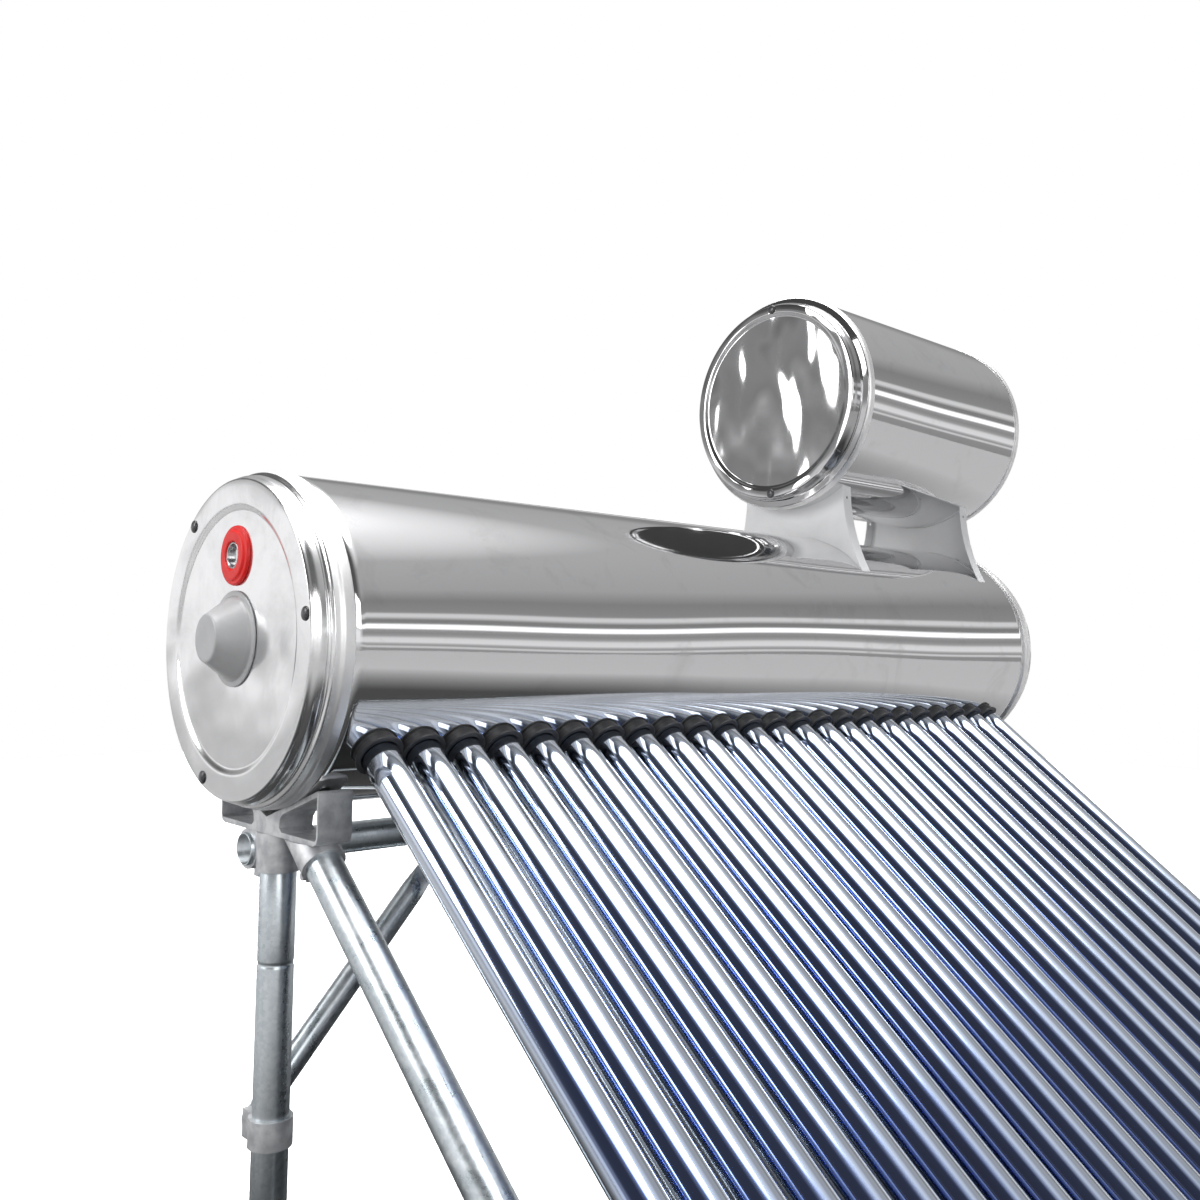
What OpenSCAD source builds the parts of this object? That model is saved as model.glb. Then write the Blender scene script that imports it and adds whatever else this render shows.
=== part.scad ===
// Thermosiphon solar water heater: a bank of evacuated glass tubes that plug into an
// insulated horizontal tank, a feeder tank with a float valve above it, and a pipe stand.
// X runs along the tank, the tubes slope down towards -Y, Z is up, the floor is Z = 0.

/* [Glass tubes] */
// Number of tubes in each of the six rows of tubes
bank_size = 4; // [2:1:5]
// Distance between the axes of neighbouring tubes
tube_pitch = 76; // [72:1:100]
// Outside diameter of a tube
tube_od = 58; // [46:0.1:60]
// Wall of the outer glass
tube_wall = 1.8; // [1.4:0.1:2.5]
// Length of a tube, mouth to tip
tube_len = 1800; // [1400:10:2160]
// Gap between the two glasses of a tube
vacuum_gap = 3.7; // [3:0.1:6]
// Wall of the absorber glass
absorber_wall = 1.6; // [1.2:0.1:2.2]
// Slope of the tubes below the horizontal
tube_angle = 38.5; // [32:0.5:45]
// How far a tube's mouth stands inside the inner tank
tube_insert = 18; // [8:1:30]
// From the left cap's face to the first tube's axis
first_tube = 138; // [130:1:200]
// From the last tube's axis to the right cap's face
last_tube = 174; // [140:1:240]

/* [Hot water tank] */
// Outside diameter of the inner tank
inner_od = 420; // [350:2:440]
// Thickness of the foam between the tank and its jacket
foam_t = 50; // [40:1:60]
// Thickness of the foam at each end
end_foam_t = 50; // [44:1:60]
// Wall of the inner tank
inner_wall = 1.5; // [1:0.1:2.5]
// Wall of the polished jacket
jacket_wall = 1; // [0.6:0.1:1.5]
// Sheet of the stamped end caps
cap_wall = 1.2; // [0.8:0.1:1.6]
// Depth of a cap's skirt over the jacket
skirt_depth = 62; // [52:1:80]
// Height of the ports above the tank's axis
port_z = 128; // [110:1:140]
// Outside diameter of a port's thread
port_od = 42; // [34:0.5:48]
// Bore of a port's thread
port_bore = 33.3; // [24:0.1:36]
// Depth of a port's thread
port_thread = 24; // [16:1:30]
// Outside diameter of the silicone ring round a port
port_ring_od = 94; // [80:1:110]
// Outside diameter of the element cover's flange
cover_od = 148; // [120:1:150]
// How far the element cover stands out of the cap's panel
cover_h = 46; // [30:1:60]
// Length of the magnesium rod
anode_len = 600; // [300:10:900]
// Diameter of the magnesium rod
anode_od = 22; // [16:1:26]

/* [Feeder tank] */
// From the left cap's face to the feeder's left face
feeder_x = 1302; // [1200:1:1320]
// Length of the feeder, face to face
feeder_len = 735; // [620:5:760]
// Outside diameter of the feeder's jacket
feeder_od = 490; // [440:2:520]
// Gap between the two jackets, which the stands bridge
tank_gap = 66; // [55:1:90]
// Thickness of the feeder's foam
feeder_foam = 42; // [30:1:50]
// Depth of a feeder cap's skirt
feeder_skirt = 51; // [46:1:60]
// From the feeder's left face to the left stand's plate
stand_left = 85; // [75:1:120]
// From the right stand's plate to the feeder's right face
stand_right = 112; // [75:1:130]
// Half the width of a stand where it meets the feeder
stand_half = 140; // [120:1:150]
// How far a stand spreads on its way down
stand_flare = 34; // [0:1:40]
// Sheet of the stands
stand_t = 2; // [1.5:0.5:3]
// Width of the stands' side flanges
stand_flange = 30; // [20:1:40]
// Outside diameter of the pipe between the tanks
link_od = 27; // [22:1:34]

/* [Float valve] */
// Height of the inlet above the feeder's axis
inlet_z = 110; // [90:1:120]
// Outside diameter of the inlet's thread
inlet_od = 26.4; // [20:0.1:27]
// How far the inlet stands out of the right cap
inlet_out = 35; // [25:1:45]
// From the pivot to the float's centre
arm_len = 230; // [180:5:250]
// Diameter of the float
float_od = 100; // [80:5:110]
// Angle of the arm between the valve shut and the float hanging down
arm_swing = 32; // [20:1:34]
// From the pivot up to the plunger's axis
arm_lever = 12; // [11:0.5:14]
// Radial clearance of the pivot and of the plunger
run_fit = 0.05; // [0.02:0.01:0.1]

/* [Stand] */
// Height of the tubes' lower ends above the floor
tail_h = 160; // [140:1:500]
// Outside diameter of the leg pipes
leg_od = 57; // [47:0.5:60]
// Outside diameter of the top beam
beam_od = 52; // [42:1:54]
// Outside diameter of the braces, struts and lower beam
brace_od = 42; // [34:1:44]
// Wall of the pipes
pipe_wall = 2.5; // [2:0.1:3.5]
// From a cap's face to the middle of the legs
support_x = 97; // [92:1:110]
// Distance of the front legs' axes below the tubes' axes
leg_drop = 180; // [165:1:200]
// From the tank's axis back to the rear legs' axes
rear_leg_y = 10; // [0:1:16]
// Width of a cradle along the tank
cradle_w = 57; // [50:1:70]
// Half the length of a cradle across the tank
cradle_half = 160; // [150:1:180]
// Depth of a cradle below the jacket
cradle_drop = 42; // [38:1:50]
// Wall of the cast sockets and clamps
cast_wall = 6; // [5:0.5:8]
// Slope of the knee braces
brace_angle = 47.7; // [40:0.1:55]
// From a leg's axis to the knee brace's upper bolt
brace_run = 334; // [260:1:420]
// Height of the lower struts above the floor
strut_h = 150; // [120:1:200]
// Thickness of the foot plates
foot_t = 6; // [5:1:10]
// Diameter of the anchor holes
anchor_d = 12; // [10:1:14]

/* [Hidden] */
$fn = 96;
eps = 0.01;
fit = 0.1;          // gap between fitted pieces that do not move

tube_count = 6 * bank_size;
tank_len = first_tube + (tube_count - 1) * tube_pitch + last_tube;
tube_r = tube_od / 2;
absorber_r = tube_r - tube_wall - vacuum_gap;
inner_r = inner_od / 2;
jacket_r = inner_r + foam_t;
skirt_r = jacket_r + 3;
face_r = jacket_r - 12;
step_r = face_r - 44;
dish = 5;           // depth of a cap's panel below its rim
rivet_r = face_r - 14;           // how far out the rivets stand
rivet_turns = [0, 120, 240];
rivet_shank_r = 3;
rivet_head_r = 10;
rivet_room_r = 5;
element_hole_r = 30;
anode_r = anode_od / 2;
jacket_end_x = skirt_depth - 14;  // a jacket reaches this far into its cap's skirt
foam_end_x = skirt_depth - 12;
cap_back = dish + cap_wall;
ca = cos(tube_angle);
sa = sin(tube_angle);
mouth_s = inner_r - tube_insert;  // s is the distance down the slope from the tank's axis
tip_s = mouth_s + tube_len;
axis_h = tail_h + sa * tip_s;     // height of the tank's axis above the floor
ring_r = min(tube_r + 9, tube_pitch / 2 - 0.3);
neck_r = tube_r + 4;
ring_top = jacket_r + 11;

feeder_r = feeder_od / 2;
feeder_z = jacket_r + tank_gap + feeder_r;
feeder_skirt_r = feeder_r + 3;
feeder_face_r = feeder_r - 19;
feeder_inner_r = feeder_r - feeder_foam;
feeder_rivet_z = feeder_face_r - 10;
feeder_jacket_x = feeder_skirt - 12;
feeder_foam_x = feeder_skirt - 10;
feeder_end_x = feeder_x + feeder_len;
link_x = feeder_x + stand_left + 90;
link_r = link_od / 2;
link_hole_r = link_r + 5;
plate_left_x = feeder_x + stand_left;
plate_right_x = feeder_end_x - stand_right;
stand_top_z = feeder_z - sqrt(pow(feeder_r, 2) - pow(stand_half, 2));
stand_screw_x = stand_flange / 4 + 1;
stand_screw_r = 2.5;
stand_screw_turns = [-27, 27];     // where the screws stand round the big jacket

leg_r = leg_od / 2;
beam_r = beam_od / 2;
brace_r = brace_od / 2;
clamp_r = leg_r + cast_wall;
cradle_z = -(jacket_r + cradle_drop);
beam_y = rear_leg_y + leg_r + beam_r + 4;
beam_z = cradle_z - beam_r - cast_wall - 1;
floor_z = -axis_h;
strut_z = floor_z + strut_h;
function leg_s(z) = (-z - ca * leg_drop) / sa;              // where the front leg passes height z
function leg_y(z) = -ca * leg_s(z) + sa * leg_drop;
foot_y = leg_y(floor_z + foot_t);
foot_half_x = 72;
foot_half_y = 78;
rail_s = tip_s + 4 + fit;
rail_n = tube_r + 4 + fit + 0.2;
rail_t = 2.5;

// the box of the whole heater, so that the origin sits under its middle
x_min = dish - cover_h;
x_max = max(tank_len + 4, feeder_end_x + inlet_out);
y_max = skirt_r;
y_min = min(-(ca * (rail_s + rail_t) + sa * (rail_n + rail_t)), foot_y - foot_half_y);

module to_floor() {
  translate([-(x_min + x_max) / 2, -(y_min + y_max) / 2, axis_h]) children();
}
module x_rod(r, x0, x1) {
  translate([x0, 0, 0]) rotate([0, 90, 0]) cylinder(r = r, h = x1 - x0);
}
module x_pipe(r, wall, x0, x1) {
  difference() {
    x_rod(r, x0, x1);
    x_rod(r - wall, x0 - 1, x1 + 1);
  }
}
module pipe(r, wall, h) {
  difference() {
    cylinder(r = r, h = h);
    translate([0, 0, -1]) cylinder(r = r - wall, h = h + 2);
  }
}
// children stand on a line parallel to the tubes, n below the tubes' axes, with +Z down the slope
module along_tubes(x = 0, n = 0) {
  translate([x, 0, 0]) rotate([90 + tube_angle, 0, 0]) translate([0, -n, 0]) children();
}
module at_tube(i) {
  along_tubes(first_tube + i * tube_pitch) children();
}
module at_each_tube() {
  for (i = [0 : tube_count - 1]) at_tube(i) children();
}
// side 0 is the left leg frame, side 1 the right one
module at_side(side) {
  if (side == 0) translate([support_x, 0, 0]) children();
  else translate([tank_len - support_x, 0, 0]) mirror([1, 0, 0]) children();
}
module at_both_sides() {
  at_side(0) children();
  at_side(1) children();
}
module at_cap(side) {
  if (side == 0) children();
  else translate([tank_len, 0, 0]) mirror([1, 0, 0]) children();
}
module at_feeder(side) {
  if (side == 0) translate([feeder_x, 0, feeder_z]) children();
  else translate([feeder_end_x, 0, feeder_z]) mirror([1, 0, 0]) children();
}

// ---------- hot water tank ----------
module at_stand_screws() {
  for (p = [[plate_left_x, 1], [plate_right_x, -1]], a = stand_screw_turns)
    translate([p[0] + p[1] * stand_screw_x, 0, 0]) rotate([a, 0, 0]) translate([0, 0, jacket_r]) children();
}
module tube_holes(r, s0, s1) {
  at_each_tube() translate([0, 0, s0]) cylinder(r = r, h = s1 - s0);
}
module tank_jacket() {
  color("silver") difference() {
    x_pipe(jacket_r, jacket_wall, jacket_end_x, tank_len - jacket_end_x);
    tube_holes(neck_r + fit, jacket_r - 20, jacket_r + 10);
    translate([link_x, 0, 0]) cylinder(r = link_hole_r, h = jacket_r + 10);
    at_stand_screws() translate([0, 0, -10]) cylinder(r = stand_screw_r, h = 20);
  }
}
module tank_foam() {
  foam_r = jacket_r - jacket_wall - fit;
  color("khaki") difference() {
    union() {
      x_rod(foam_r, foam_end_x, tank_len - foam_end_x);
      x_rod(face_r - 8, cap_back, tank_len - cap_back);
    }
    x_rod(inner_r + eps, end_foam_t - eps, tank_len - end_foam_t + eps);
    tube_holes(tube_r + 6, 0, jacket_r + 10);
    translate([link_x, 0, 0]) cylinder(r = link_r + fit, h = jacket_r + 10);
    translate([link_x, 0, jacket_r - 6]) cylinder(r = link_r + 8, h = 20);
    for (side = [0, 1]) at_cap(side) {
      translate([0, 0, port_z]) x_rod(port_od / 2 + fit, -10, end_foam_t + 1);
      for (a = rivet_turns) rivet_place(a, rivet_r) x_rod(rivet_room_r, 0, 14);
    }
    x_rod(element_hole_r + 4, 0, end_foam_t + 1);
    at_stand_screws() translate([0, 0, -10]) cylinder(r = stand_screw_r + 1, h = 20);
  }
}
module tank_inner() {
  color("gainsboro") difference() {
    x_rod(inner_r, end_foam_t, tank_len - end_foam_t);
    x_rod(inner_r - inner_wall, end_foam_t + inner_wall, tank_len - end_foam_t - inner_wall);
    tube_holes(neck_r + fit, inner_r - 25, inner_r + 10);
    translate([link_x, 0, inner_r - 20]) cylinder(r = link_r + fit, h = 40);
    for (side = [0, 1]) at_cap(side) {
      translate([0, 0, port_z]) x_rod(port_bore / 2, end_foam_t - 5, end_foam_t + 10);
    }
    x_rod(anode_r + 3 + fit, end_foam_t - 5, end_foam_t + 10);
  }
}
// outline of a stamped cap: radius against depth, outside then back along the inside
function cap_outline(rf, rs, rj, step, depth) = [
  [0, dish], [step - 4, dish], [step + 3, 0], [rf - 5, 0], [rf - 1.5, 1.4], [rf, 5],
  [rf + 1.5, 11], [rf + 2, depth * 0.42], [rs - 4, depth * 0.5], [rs - 3.2, depth * 0.66],
  [rs, depth * 0.74], [rs, depth], [rj + eps, depth], [rj + eps, depth - 6],
  [rs - cap_wall, depth - 8], [rs - cap_wall, depth * 0.76], [rs - 3.2 - cap_wall, depth * 0.68],
  [rs - 4 - cap_wall, depth * 0.52], [rf + 2 - cap_wall, depth * 0.44],
  [rf + 1.5 - cap_wall, 11.5], [rf - cap_wall, 6], [rf - 2.5, 2.4], [rf - 5.5, cap_wall],
  [step + 3.6, cap_wall], [step - 3.4, dish + cap_wall], [0, dish + cap_wall]
];
module cap_shell(rf, rs, rj, step, depth) {
  rotate([0, 90, 0]) rotate_extrude(convexity = 8) polygon(cap_outline(rf, rs, rj, step, depth));
}
module rivet_place(a, r) {
  rotate([a - 9, 0, 0]) translate([0, -r, 0]) children();
}
module cap(side, cover) {
  color("gainsboro") at_cap(side) difference() {
    cap_shell(face_r, skirt_r, jacket_r, step_r, skirt_depth);
    translate([0, 0, port_z]) x_rod(port_od / 2 + 1, -5, 20);
    if (cover) x_rod(element_hole_r, -5, 20);
    for (a = rivet_turns) rivet_place(a, rivet_r) x_rod(rivet_shank_r + fit, -5, 20);
  }
}
module push_rivet() {
  x_rod(rivet_head_r, -3, 0);
  x_rod(rivet_shank_r, -1, 12);
}
module cap_rivets() {
  color("dimgray") {
    for (side = [0, 1]) {
      at_cap(side) for (a = rivet_turns) rivet_place(a, rivet_r) push_rivet();
      at_feeder(side) for (z = [-1, 1]) translate([0, 0, z * feeder_rivet_z]) push_rivet();
    }
  }
}
module port_rings() {
  color("red") for (side = [0, 1]) at_cap(side) translate([0, 0, port_z]) difference() {
    union() {
      x_rod(port_ring_od / 2, dish - 6, dish);
      x_rod(port_ring_od / 2 - 8, dish - 9, dish);
    }
    x_rod(port_od / 2 + fit / 2, -20, 20);
  }
}
// a socket welded to the inner tank: thread, relief, and a web that breaks the cold inflow
module port(side) {
  relief_r = port_bore / 2 + 0.6;
  thread_end = port_thread - 2;
  color("silver") at_cap(side) translate([0, 0, port_z]) {
    difference() {
      x_rod(port_od / 2, -2, end_foam_t);
      x_rod(port_bore / 2, -3, thread_end + 1);
      x_rod(relief_r, thread_end, end_foam_t + 1);
    }
    translate([thread_end + 2, -relief_r - 1, -1.5]) cube([16, 2 * relief_r + 2, 3]);
  }
}
module element_cover() {
  r0 = cover_od / 2;
  color("darkgray") translate([dish, 0, 0]) rotate([0, -90, 0]) rotate_extrude() polygon([
    [0, cover_h], [r0 / 2, cover_h], [r0 - 7, 3], [r0, 2.5], [r0, 0],
    [r0 - 11, 0], [r0 / 2 - 2, cover_h - 3], [0, cover_h - 3]
  ]);
}
module anode_rod() {
  color("slategray") {
    x_rod(anode_r, end_foam_t, end_foam_t + anode_len);
    x_rod(anode_r + 3, end_foam_t - 1, end_foam_t + 8);
    translate([end_foam_t - 14, 0, 0]) rotate([0, 90, 0]) cylinder(r = 23, h = 14, $fn = 6);
  }
}

// ---------- glass tubes ----------
module tube_seals() {
  color("darkorange") difference() {
    union() {
      at_each_tube() translate([0, 0, inner_r - 14]) cylinder(r = neck_r, h = 24);
      intersection() {
        at_each_tube() translate([0, 0, inner_r - 14]) cylinder(r = neck_r + 3, h = 24);
        x_rod(inner_r - inner_wall - fit, 0, tank_len);
      }
    }
    tube_holes(tube_r + fit / 2, 0, jacket_r);
  }
}
module dust_rings() {
  color("dimgray") difference() {
    at_each_tube() {
      translate([0, 0, jacket_r - 12]) cylinder(r = neck_r, h = ring_top - jacket_r + 12);
      difference() {
        translate([0, 0, jacket_r - 12]) cylinder(r = ring_r, h = ring_top - jacket_r + 12);
        rotate([-90 - tube_angle, 0, 0]) x_rod(jacket_r + eps, -tube_pitch, tube_pitch);
      }
    }
    tube_holes(tube_r + fit / 2, 0, jacket_r + 40);
  }
}
module round_end(r, h) {
  cylinder(r = r, h = h - r);
  translate([0, 0, h - r]) sphere(r = r);
}
module glass_tube() {
  translate([0, 0, mouth_s]) difference() {
    round_end(tube_r, tube_len);
    translate([0, 0, 2]) round_end(tube_r - tube_wall, tube_len - tube_wall - 2);
    translate([0, 0, -1]) cylinder(r = absorber_r + fit / 2, h = 5);
  }
}
module tubes_row(row) {
  color("midnightblue", 0.6) for (i = [0 : bank_size - 1]) at_tube(row * bank_size + i) glass_tube();
}
module absorber_tubes() {
  h = tube_len - 30;
  color("navy") at_each_tube() translate([0, 0, mouth_s]) difference() {
    round_end(absorber_r, h);
    translate([0, 0, -1]) round_end(absorber_r - absorber_wall, h - absorber_wall + 1);
  }
}
module spring_clips() {
  clip_r = tube_r - tube_wall - fit;
  color("silver") at_each_tube() translate([0, 0, tip_s - 90]) difference() {
    cylinder(r = clip_r, h = 14);
    translate([0, 0, -1]) cylinder(r = absorber_r + fit, h = 16);
    for (a = [0, 120, 240]) rotate(a) translate([clip_r, 0, 9]) cube([12, 18, 12], center = true);
  }
}
module tail_cups() {
  cup_r = tube_r + 4;
  color("dimgray") at_each_tube() difference() {
    translate([0, 0, tip_s - 34]) cylinder(r = cup_r, h = 38);
    translate([0, 0, tip_s - 80]) round_end(tube_r + fit, 80 + fit);
  }
}
module tail_rail() {
  n1 = rail_n + rail_t;
  over = 62;          // the rail passes the last tubes' axes by this much
  x0 = first_tube - over;
  rail_len = (tube_count - 1) * tube_pitch + 2 * over;
  color("lightsteelblue") difference() {
    along_tubes(x0) translate([0, -n1, rail_s - 40])
      cube([rail_len, 2 * n1, 40 + rail_t]);
    along_tubes(x0 - 1) translate([0, -rail_n, rail_s - 60])
      cube([rail_len + 2, 2 * rail_n, 60]);
  }
}

// ---------- feeder tank ----------
module feeder_jacket() {
  color("silver") difference() {
    translate([0, 0, feeder_z])
      x_pipe(feeder_r, jacket_wall, feeder_x + feeder_jacket_x, feeder_end_x - feeder_jacket_x);
    translate([link_x, 0, feeder_z - feeder_r - 10]) cylinder(r = link_hole_r, h = 40);
  }
}
module feeder_foam_shell() {
  color("khaki") difference() {
    translate([0, 0, feeder_z]) union() {
      x_rod(feeder_r - jacket_wall - fit, feeder_x + feeder_foam_x, feeder_end_x - feeder_foam_x);
      x_rod(feeder_face_r - 8, feeder_x + cap_back, feeder_end_x - cap_back);
    }
    translate([0, 0, feeder_z])
      x_rod(feeder_inner_r, feeder_x + end_foam_t, feeder_end_x - end_foam_t);
    translate([link_x, 0, feeder_z - feeder_r - 10]) cylinder(r = link_r + fit, h = 100);
    translate([link_x, 0, feeder_z - feeder_r - 10]) cylinder(r = link_r + 8, h = 16);
    at_feeder(1) translate([0, 0, inlet_z]) x_rod(inlet_od / 2 + fit, 0, 60);
    for (side = [0, 1]) at_feeder(side)
      for (z = [-1, 1]) translate([0, 0, z * feeder_rivet_z]) x_rod(rivet_room_r, 0, 14);
  }
}
module feeder_inner() {
  color("gainsboro") difference() {
    translate([0, 0, feeder_z]) difference() {
      x_rod(feeder_inner_r, feeder_x + end_foam_t, feeder_end_x - end_foam_t);
      x_rod(feeder_inner_r - inner_wall, feeder_x + end_foam_t + inner_wall,
            feeder_end_x - end_foam_t - inner_wall);
    }
    translate([link_x, 0, feeder_z - feeder_inner_r - 10]) cylinder(r = link_r + fit, h = 30);
    at_feeder(1) translate([0, 0, inlet_z]) x_rod(inlet_od / 2 + fit, 0, 70);
  }
}
module feeder_cap(side) {
  color("gainsboro") at_feeder(side) difference() {
    cap_shell(feeder_face_r, feeder_skirt_r, feeder_r, feeder_face_r - 22, feeder_skirt);
    if (side == 1) translate([0, 0, inlet_z]) x_rod(inlet_od / 2 + fit, -5, 20);
    for (z = [-1, 1]) translate([0, 0, z * feeder_rivet_z]) x_rod(rivet_shank_r + fit, -5, 20);
  }
}
// half width of a stand at height z, measured from the main tank's axis
function stand_w(z) =
  stand_half + stand_flare * pow((stand_top_z - z) / (stand_top_z - jacket_r * 0.82), 2);
module stand_outline(inset) {
  z0 = jacket_r * 0.6;
  z1 = feeder_z;
  steps = 16;
  polygon(concat(
    [for (i = [0 : steps]) let (z = z0 + (stand_top_z - z0) * i / steps) [stand_w(z) - inset, z]],
    [[stand_half - inset, z1], [-stand_half + inset, z1]],
    [for (i = [steps : -1 : 0]) let (z = z0 + (stand_top_z - z0) * i / steps) [-stand_w(z) + inset, z]]
  ));
}
module between_tanks() {
  difference() {
    children();
    circle(r = jacket_r + fit);
    translate([0, feeder_z]) circle(r = feeder_r + fit);
  }
}
module stand_sheet(depth) {
  rotate([90, 0, 90]) linear_extrude(depth) children();
}
module stand_plate(x, dir) {
  lip = stand_flange / 2;
  color("white") translate([x, 0, 0]) mirror([dir < 0 ? 1 : 0, 0, 0]) difference() {
    union() {
      stand_sheet(stand_t) between_tanks() stand_outline(0);
      stand_sheet(stand_flange) between_tanks() difference() {
        stand_outline(0);
        stand_outline(stand_t);
      }
      stand_sheet(lip) between_tanks() intersection() {
        stand_outline(0);
        union() {
          circle(r = jacket_r + fit + stand_t);
          translate([0, feeder_z]) circle(r = feeder_r + fit + stand_t);
        }
      }
    }
    for (y = [-1, 1]) translate([stand_flange / 2, y * stand_half, stand_top_z - 26])
      rotate([90, 0, 0]) cylinder(r = 3.5, h = 30, center = true);
    for (a = stand_screw_turns) rotate([a, 0, 0]) translate([stand_screw_x, 0, jacket_r - 5])
      cylinder(r = stand_screw_r + fit, h = 20);
  }
}
module link_pipe() {
  z0 = inner_r - 12;
  color("silver") translate([link_x, 0, z0])
    pipe(link_r, 2, feeder_z - feeder_inner_r + 12 - z0);
}
module link_grommets() {
  color("black") for (z = [jacket_r, feeder_z - feeder_r]) difference() {
    union() {
      translate([link_x, 0, z - 5]) cylinder(r = link_hole_r - eps, h = 10);
      translate([link_x, 0, z == jacket_r ? z : z - 4.5]) cylinder(r = link_r + 9, h = 4.5);
    }
    translate([link_x, 0, z - 30]) cylinder(r = link_r + eps, h = 60);
    if (z == jacket_r) difference() {
      x_rod(jacket_r + eps, link_x - 40, link_x + 40);
      translate([link_x, 0, z - 30]) cylinder(r = link_hole_r - eps, h = 60);
    }
    else difference() {
      translate([0, 0, feeder_z]) x_rod(feeder_r + eps, link_x - 40, link_x + 40);
      translate([link_x, 0, z - 30]) cylinder(r = link_hole_r - eps, h = 60);
    }
  }
}

// ---------- float valve ----------
// x is measured inwards from the feeder's right face, z from the inlet's axis
plunger_r = 7;
nose_r = 2.5;
pin_r = 3;
rod_r = 3.5;           // the arm's rod, which screws into the float
body_end_x = 26;       // length of the valve's body past its seat
float_near = 4;        // how far the rod reaches into the float
seat_x = end_foam_t + 22;
nose_x = seat_x + 36;         // plunger's nose when the valve is shut
pivot_x = nose_x + 3 + 0.3;
travel = arm_lever * sin(arm_swing);
rod_end = arm_len - float_od / 2 + float_near;
module at_valve() {
  at_feeder(1) translate([0, 0, inlet_z]) children();
}
module float_valve() {
  color("goldenrod") at_valve() difference() {
    union() {
      x_rod(inlet_od / 2, -inlet_out, -3);
      x_rod(inlet_od / 2 - 0.6, -4, end_foam_t + inner_wall + 1);
      translate([end_foam_t + inner_wall, 0, 0]) rotate([0, 90, 0]) cylinder(r = 21, h = 12, $fn = 6);
      x_rod(13, end_foam_t, seat_x + body_end_x);
      for (y = [-8.5, 5.5]) translate([seat_x + 10, y, -arm_lever - 7]) cube([pivot_x - seat_x - 3, 3, 20]);
    }
    x_rod(6, -inlet_out - 1, seat_x + 1);
    x_rod(plunger_r + run_fit, seat_x, seat_x + 60);
    translate([seat_x + body_end_x, -5.5, -40]) cube([60, 11, 80]);
    translate([pivot_x, 0, -arm_lever]) rotate([90, 0, 0]) cylinder(r = pin_r, h = 40, center = true);
    translate([seat_x + 14, 0, -30]) cylinder(r = 3, h = 30);
  }
}
module valve_plunger() {
  // drawn open, one travel inwards of its seat
  color("white") at_valve() translate([travel, 0, 0]) {
    x_rod(plunger_r, seat_x + 0.2, seat_x + body_end_x);
    x_rod(nose_r, seat_x + body_end_x - 1, nose_x);
  }
}
module valve_pin() {
  color("silver") at_valve() translate([pivot_x, 0, -arm_lever]) rotate([90, 0, 0]) {
    cylinder(r = pin_r - eps, h = 20, center = true);
    translate([0, 0, 8.5]) cylinder(r = 5, h = 2);
  }
}
module float_arm() {
  color("goldenrod") at_valve() translate([pivot_x, 0, -arm_lever]) rotate([0, arm_swing, 0]) difference() {
    union() {
      rotate([90, 0, 0]) cylinder(r = 8, h = 8, center = true);
      translate([-1.5, -4, 0]) cube([4.5, 8, arm_lever]);
      translate([0, 0, arm_lever]) rotate([90, 0, 0]) cylinder(r = 3, h = 8, center = true);
      x_rod(rod_r, 6, rod_end);
    }
    rotate([90, 0, 0]) cylinder(r = pin_r + run_fit, h = 20, center = true);
  }
}
module float_ball() {
  color("orange") at_valve() translate([pivot_x, 0, -arm_lever]) rotate([0, arm_swing, 0])
    difference() {
      translate([arm_len, 0, 0]) sphere(r = float_od / 2);
      x_rod(rod_r + eps, 0, rod_end + eps);
    }
}

// ---------- stand ----------
// a cradle's outline across the tank: V arms that touch the jacket, end plates and a floor
v_angle = 19.4;
v_z = -(jacket_r + fit) / cos(v_angle);       // where the two arms' top faces would meet
function arm_z(y) = v_z + abs(y) * tan(v_angle);
module cradle_outline() {
  h = cradle_half;
  polygon([
    [0, v_z], [h - 4, arm_z(h - 4)], [h, arm_z(h) - 5], [h, cradle_z + 14], [h - 4, cradle_z + 4],
    [h - 14, cradle_z], [14 - h, cradle_z], [4 - h, cradle_z + 4], [-h, cradle_z + 14],
    [-h, arm_z(h) - 5], [4 - h, arm_z(h - 4)]
  ]);
}
module cradle_window(side) {
  h = cradle_half;
  floor_t = 8;
  wall_t = 4;
  arm_deep = arm_t / cos(v_angle);
  in_y = 42;
  polygon([
    [side * in_y, cradle_z + floor_t + 6], [side * (in_y + 8), cradle_z + floor_t],
    [side * (h - wall_t - 4), cradle_z + floor_t], [side * (h - wall_t), cradle_z + floor_t + 4],
    [side * (h - wall_t), arm_z(h - wall_t) - arm_deep],
    [side * (in_y + 10), arm_z(in_y + 10) - arm_deep],
    [side * (in_y + 2), arm_z(in_y) - arm_deep - 5]
  ]);
}
module cradle() {
  color("lightgray") difference() {
    rotate([90, 0, 90]) linear_extrude(cradle_w, center = true) difference() {
      cradle_outline();
      for (side = [-1, 1]) cradle_window(side);
    }
    at_arms() translate([0, 0, -arm_t - 4]) cylinder(r = cradle_bolt_r + fit, h = arm_t + 8);
  }
}
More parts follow.
